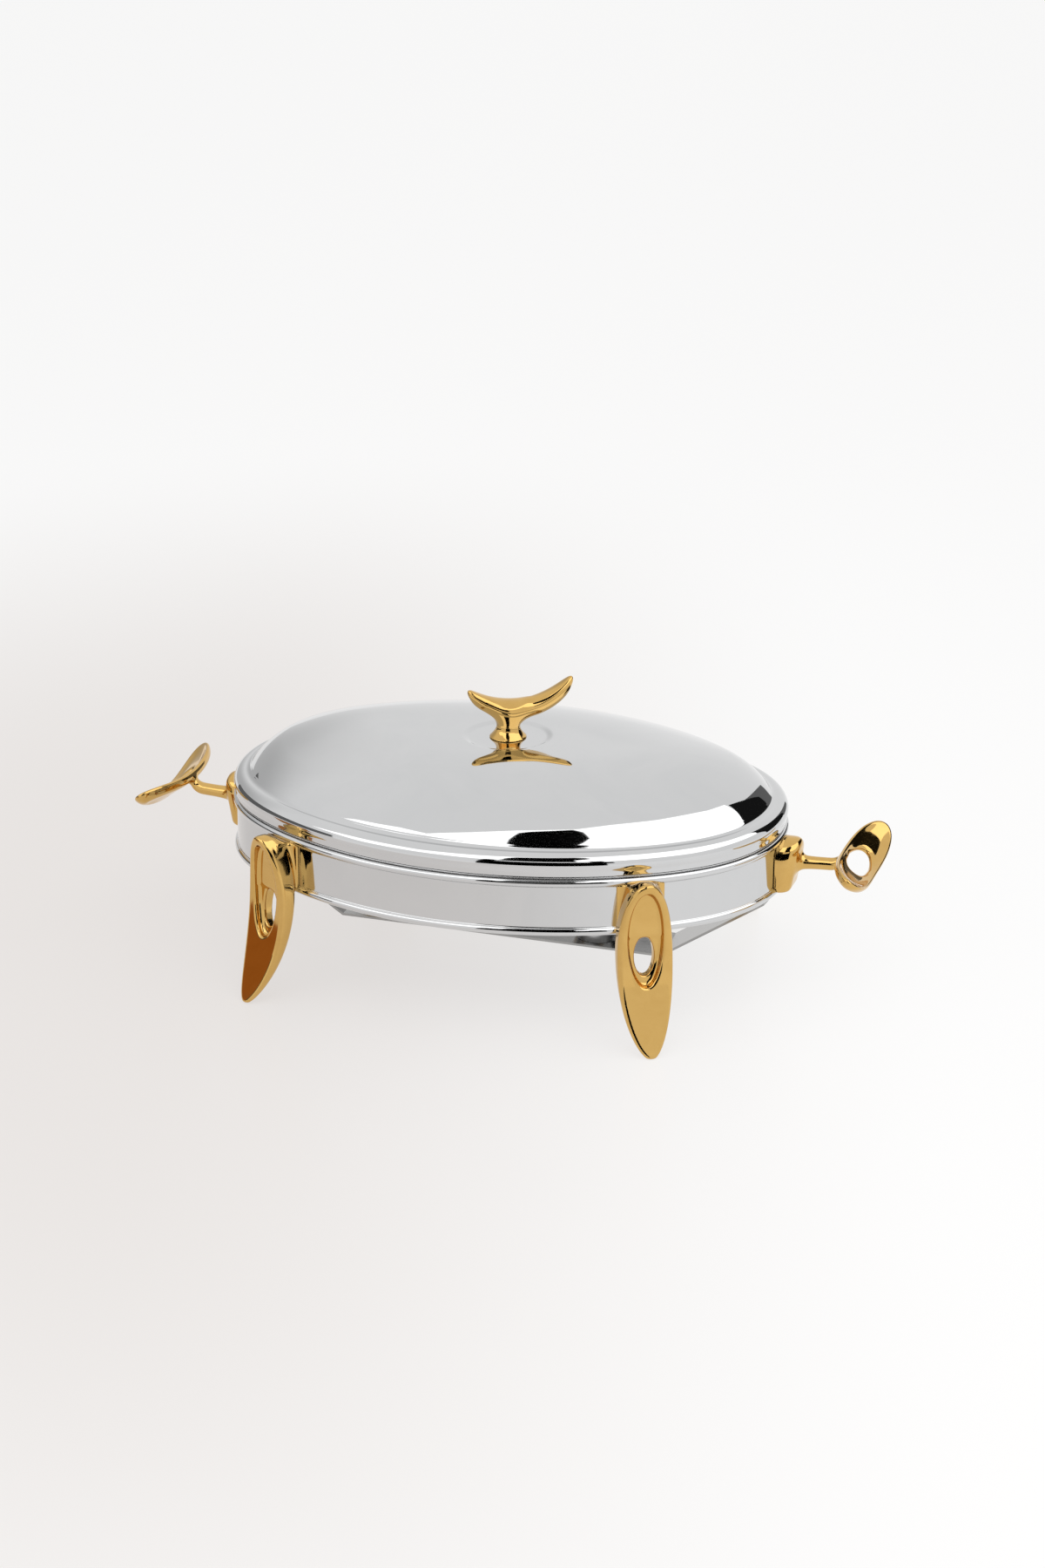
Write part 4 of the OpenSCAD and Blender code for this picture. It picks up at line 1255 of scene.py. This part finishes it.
# %% Outlines of the light and the cards
LIGHT_EDGE = [
    (-1.9, -0.62), (-1.16, -0.54), (-0.94, -0.59), (-0.77, -0.61), (-0.59, -0.72), (-0.28, -0.50),
    (-0.08, -0.33), (0.14, -0.20), (0.22, -0.05), (0.36, 0.11), (0.61, 0.54), (0.71, 0.88),
    (1.81, 1.34), (1.7, -0.6), (0.9, -1.3), (-0.3, -1.5), (-1.9, -1.7),
]
DARK_EDGE = [
    (-0.075, -0.64), (-0.06, -0.40), (-0.02, -0.34), (0.13, -0.22), (0.20, -0.28), (0.31, -0.46),
    (0.34, -0.60), (0.36, -0.84), (-0.07, -0.94),
]
RIGHT_EDGE = [(140, 38), (148, 26), (156, 12), (156, -2), (128, -2), (126, 24)]
FAR_EDGE = [(148, 26), (160, 14), (168, 4), (168, -6), (156, -6), (156, 12)]
LEG_EDGE = [(-0.322, -0.20, 0.0), (-0.322, -0.11, 0.0), (-0.322, -0.11, 0.058), (-0.322, -0.20, 0.058)]
print("the light has", len(LIGHT_EDGE), "corners")

# %% Light and cards
LIGHT_HEIGHT = 1.7
LIGHT_STRENGTH = 1.9
DARK_DROP = 0.05
CARD_DISTANCE = 1.6
NEAR_DISTANCE = 0.8
FRONT_DISTANCE = 0.29
BLACK = 0.0
NEAR_BLACK = 0.01
GREY = 0.14
BROWN = (1.0, 0.42, 0.13, 1.0)
BROWN_GLOW = 0.36
PLAIN_CARDS = [
    ("dark_card_above", ceiling(DARK_EDGE, LIGHT_HEIGHT - DARK_DROP), BLACK),
    ("dark_card_right", toward(RIGHT_EDGE, CARD_DISTANCE), NEAR_BLACK),
    ("grey_card_right", toward(FAR_EDGE, CARD_DISTANCE), GREY),
    ("dark_card_left", panel((-116, -60), (-8, 6), NEAR_DISTANCE), GREY),
    ("dark_card_high", panel((-4, 24), (32, 50), CARD_DISTANCE), BLACK),
    ("dark_card_low", panel((-10, 34), (-8, 22), NEAR_DISTANCE), BLACK),
    ("dark_strip_near", panel((-10, -5), (22, 34), NEAR_DISTANCE), BLACK),
    ("dark_strip_far", panel((29, 34), (22, 34), NEAR_DISTANCE), BLACK),
    ("dark_card_front", panel((-14, 40), (8, 19), FRONT_DISTANCE), BLACK),
]
make_card("soft_light", ceiling(LIGHT_EDGE, LIGHT_HEIGHT), LIGHT_STRENGTH, True)
for name, corners, tone in PLAIN_CARDS:
    make_card(name, corners, tone, False)
make_card("brown_card_left", LEG_EDGE, BROWN_GLOW, False, BROWN)
print("one light and", len(PLAIN_CARDS) + 1, "cards")
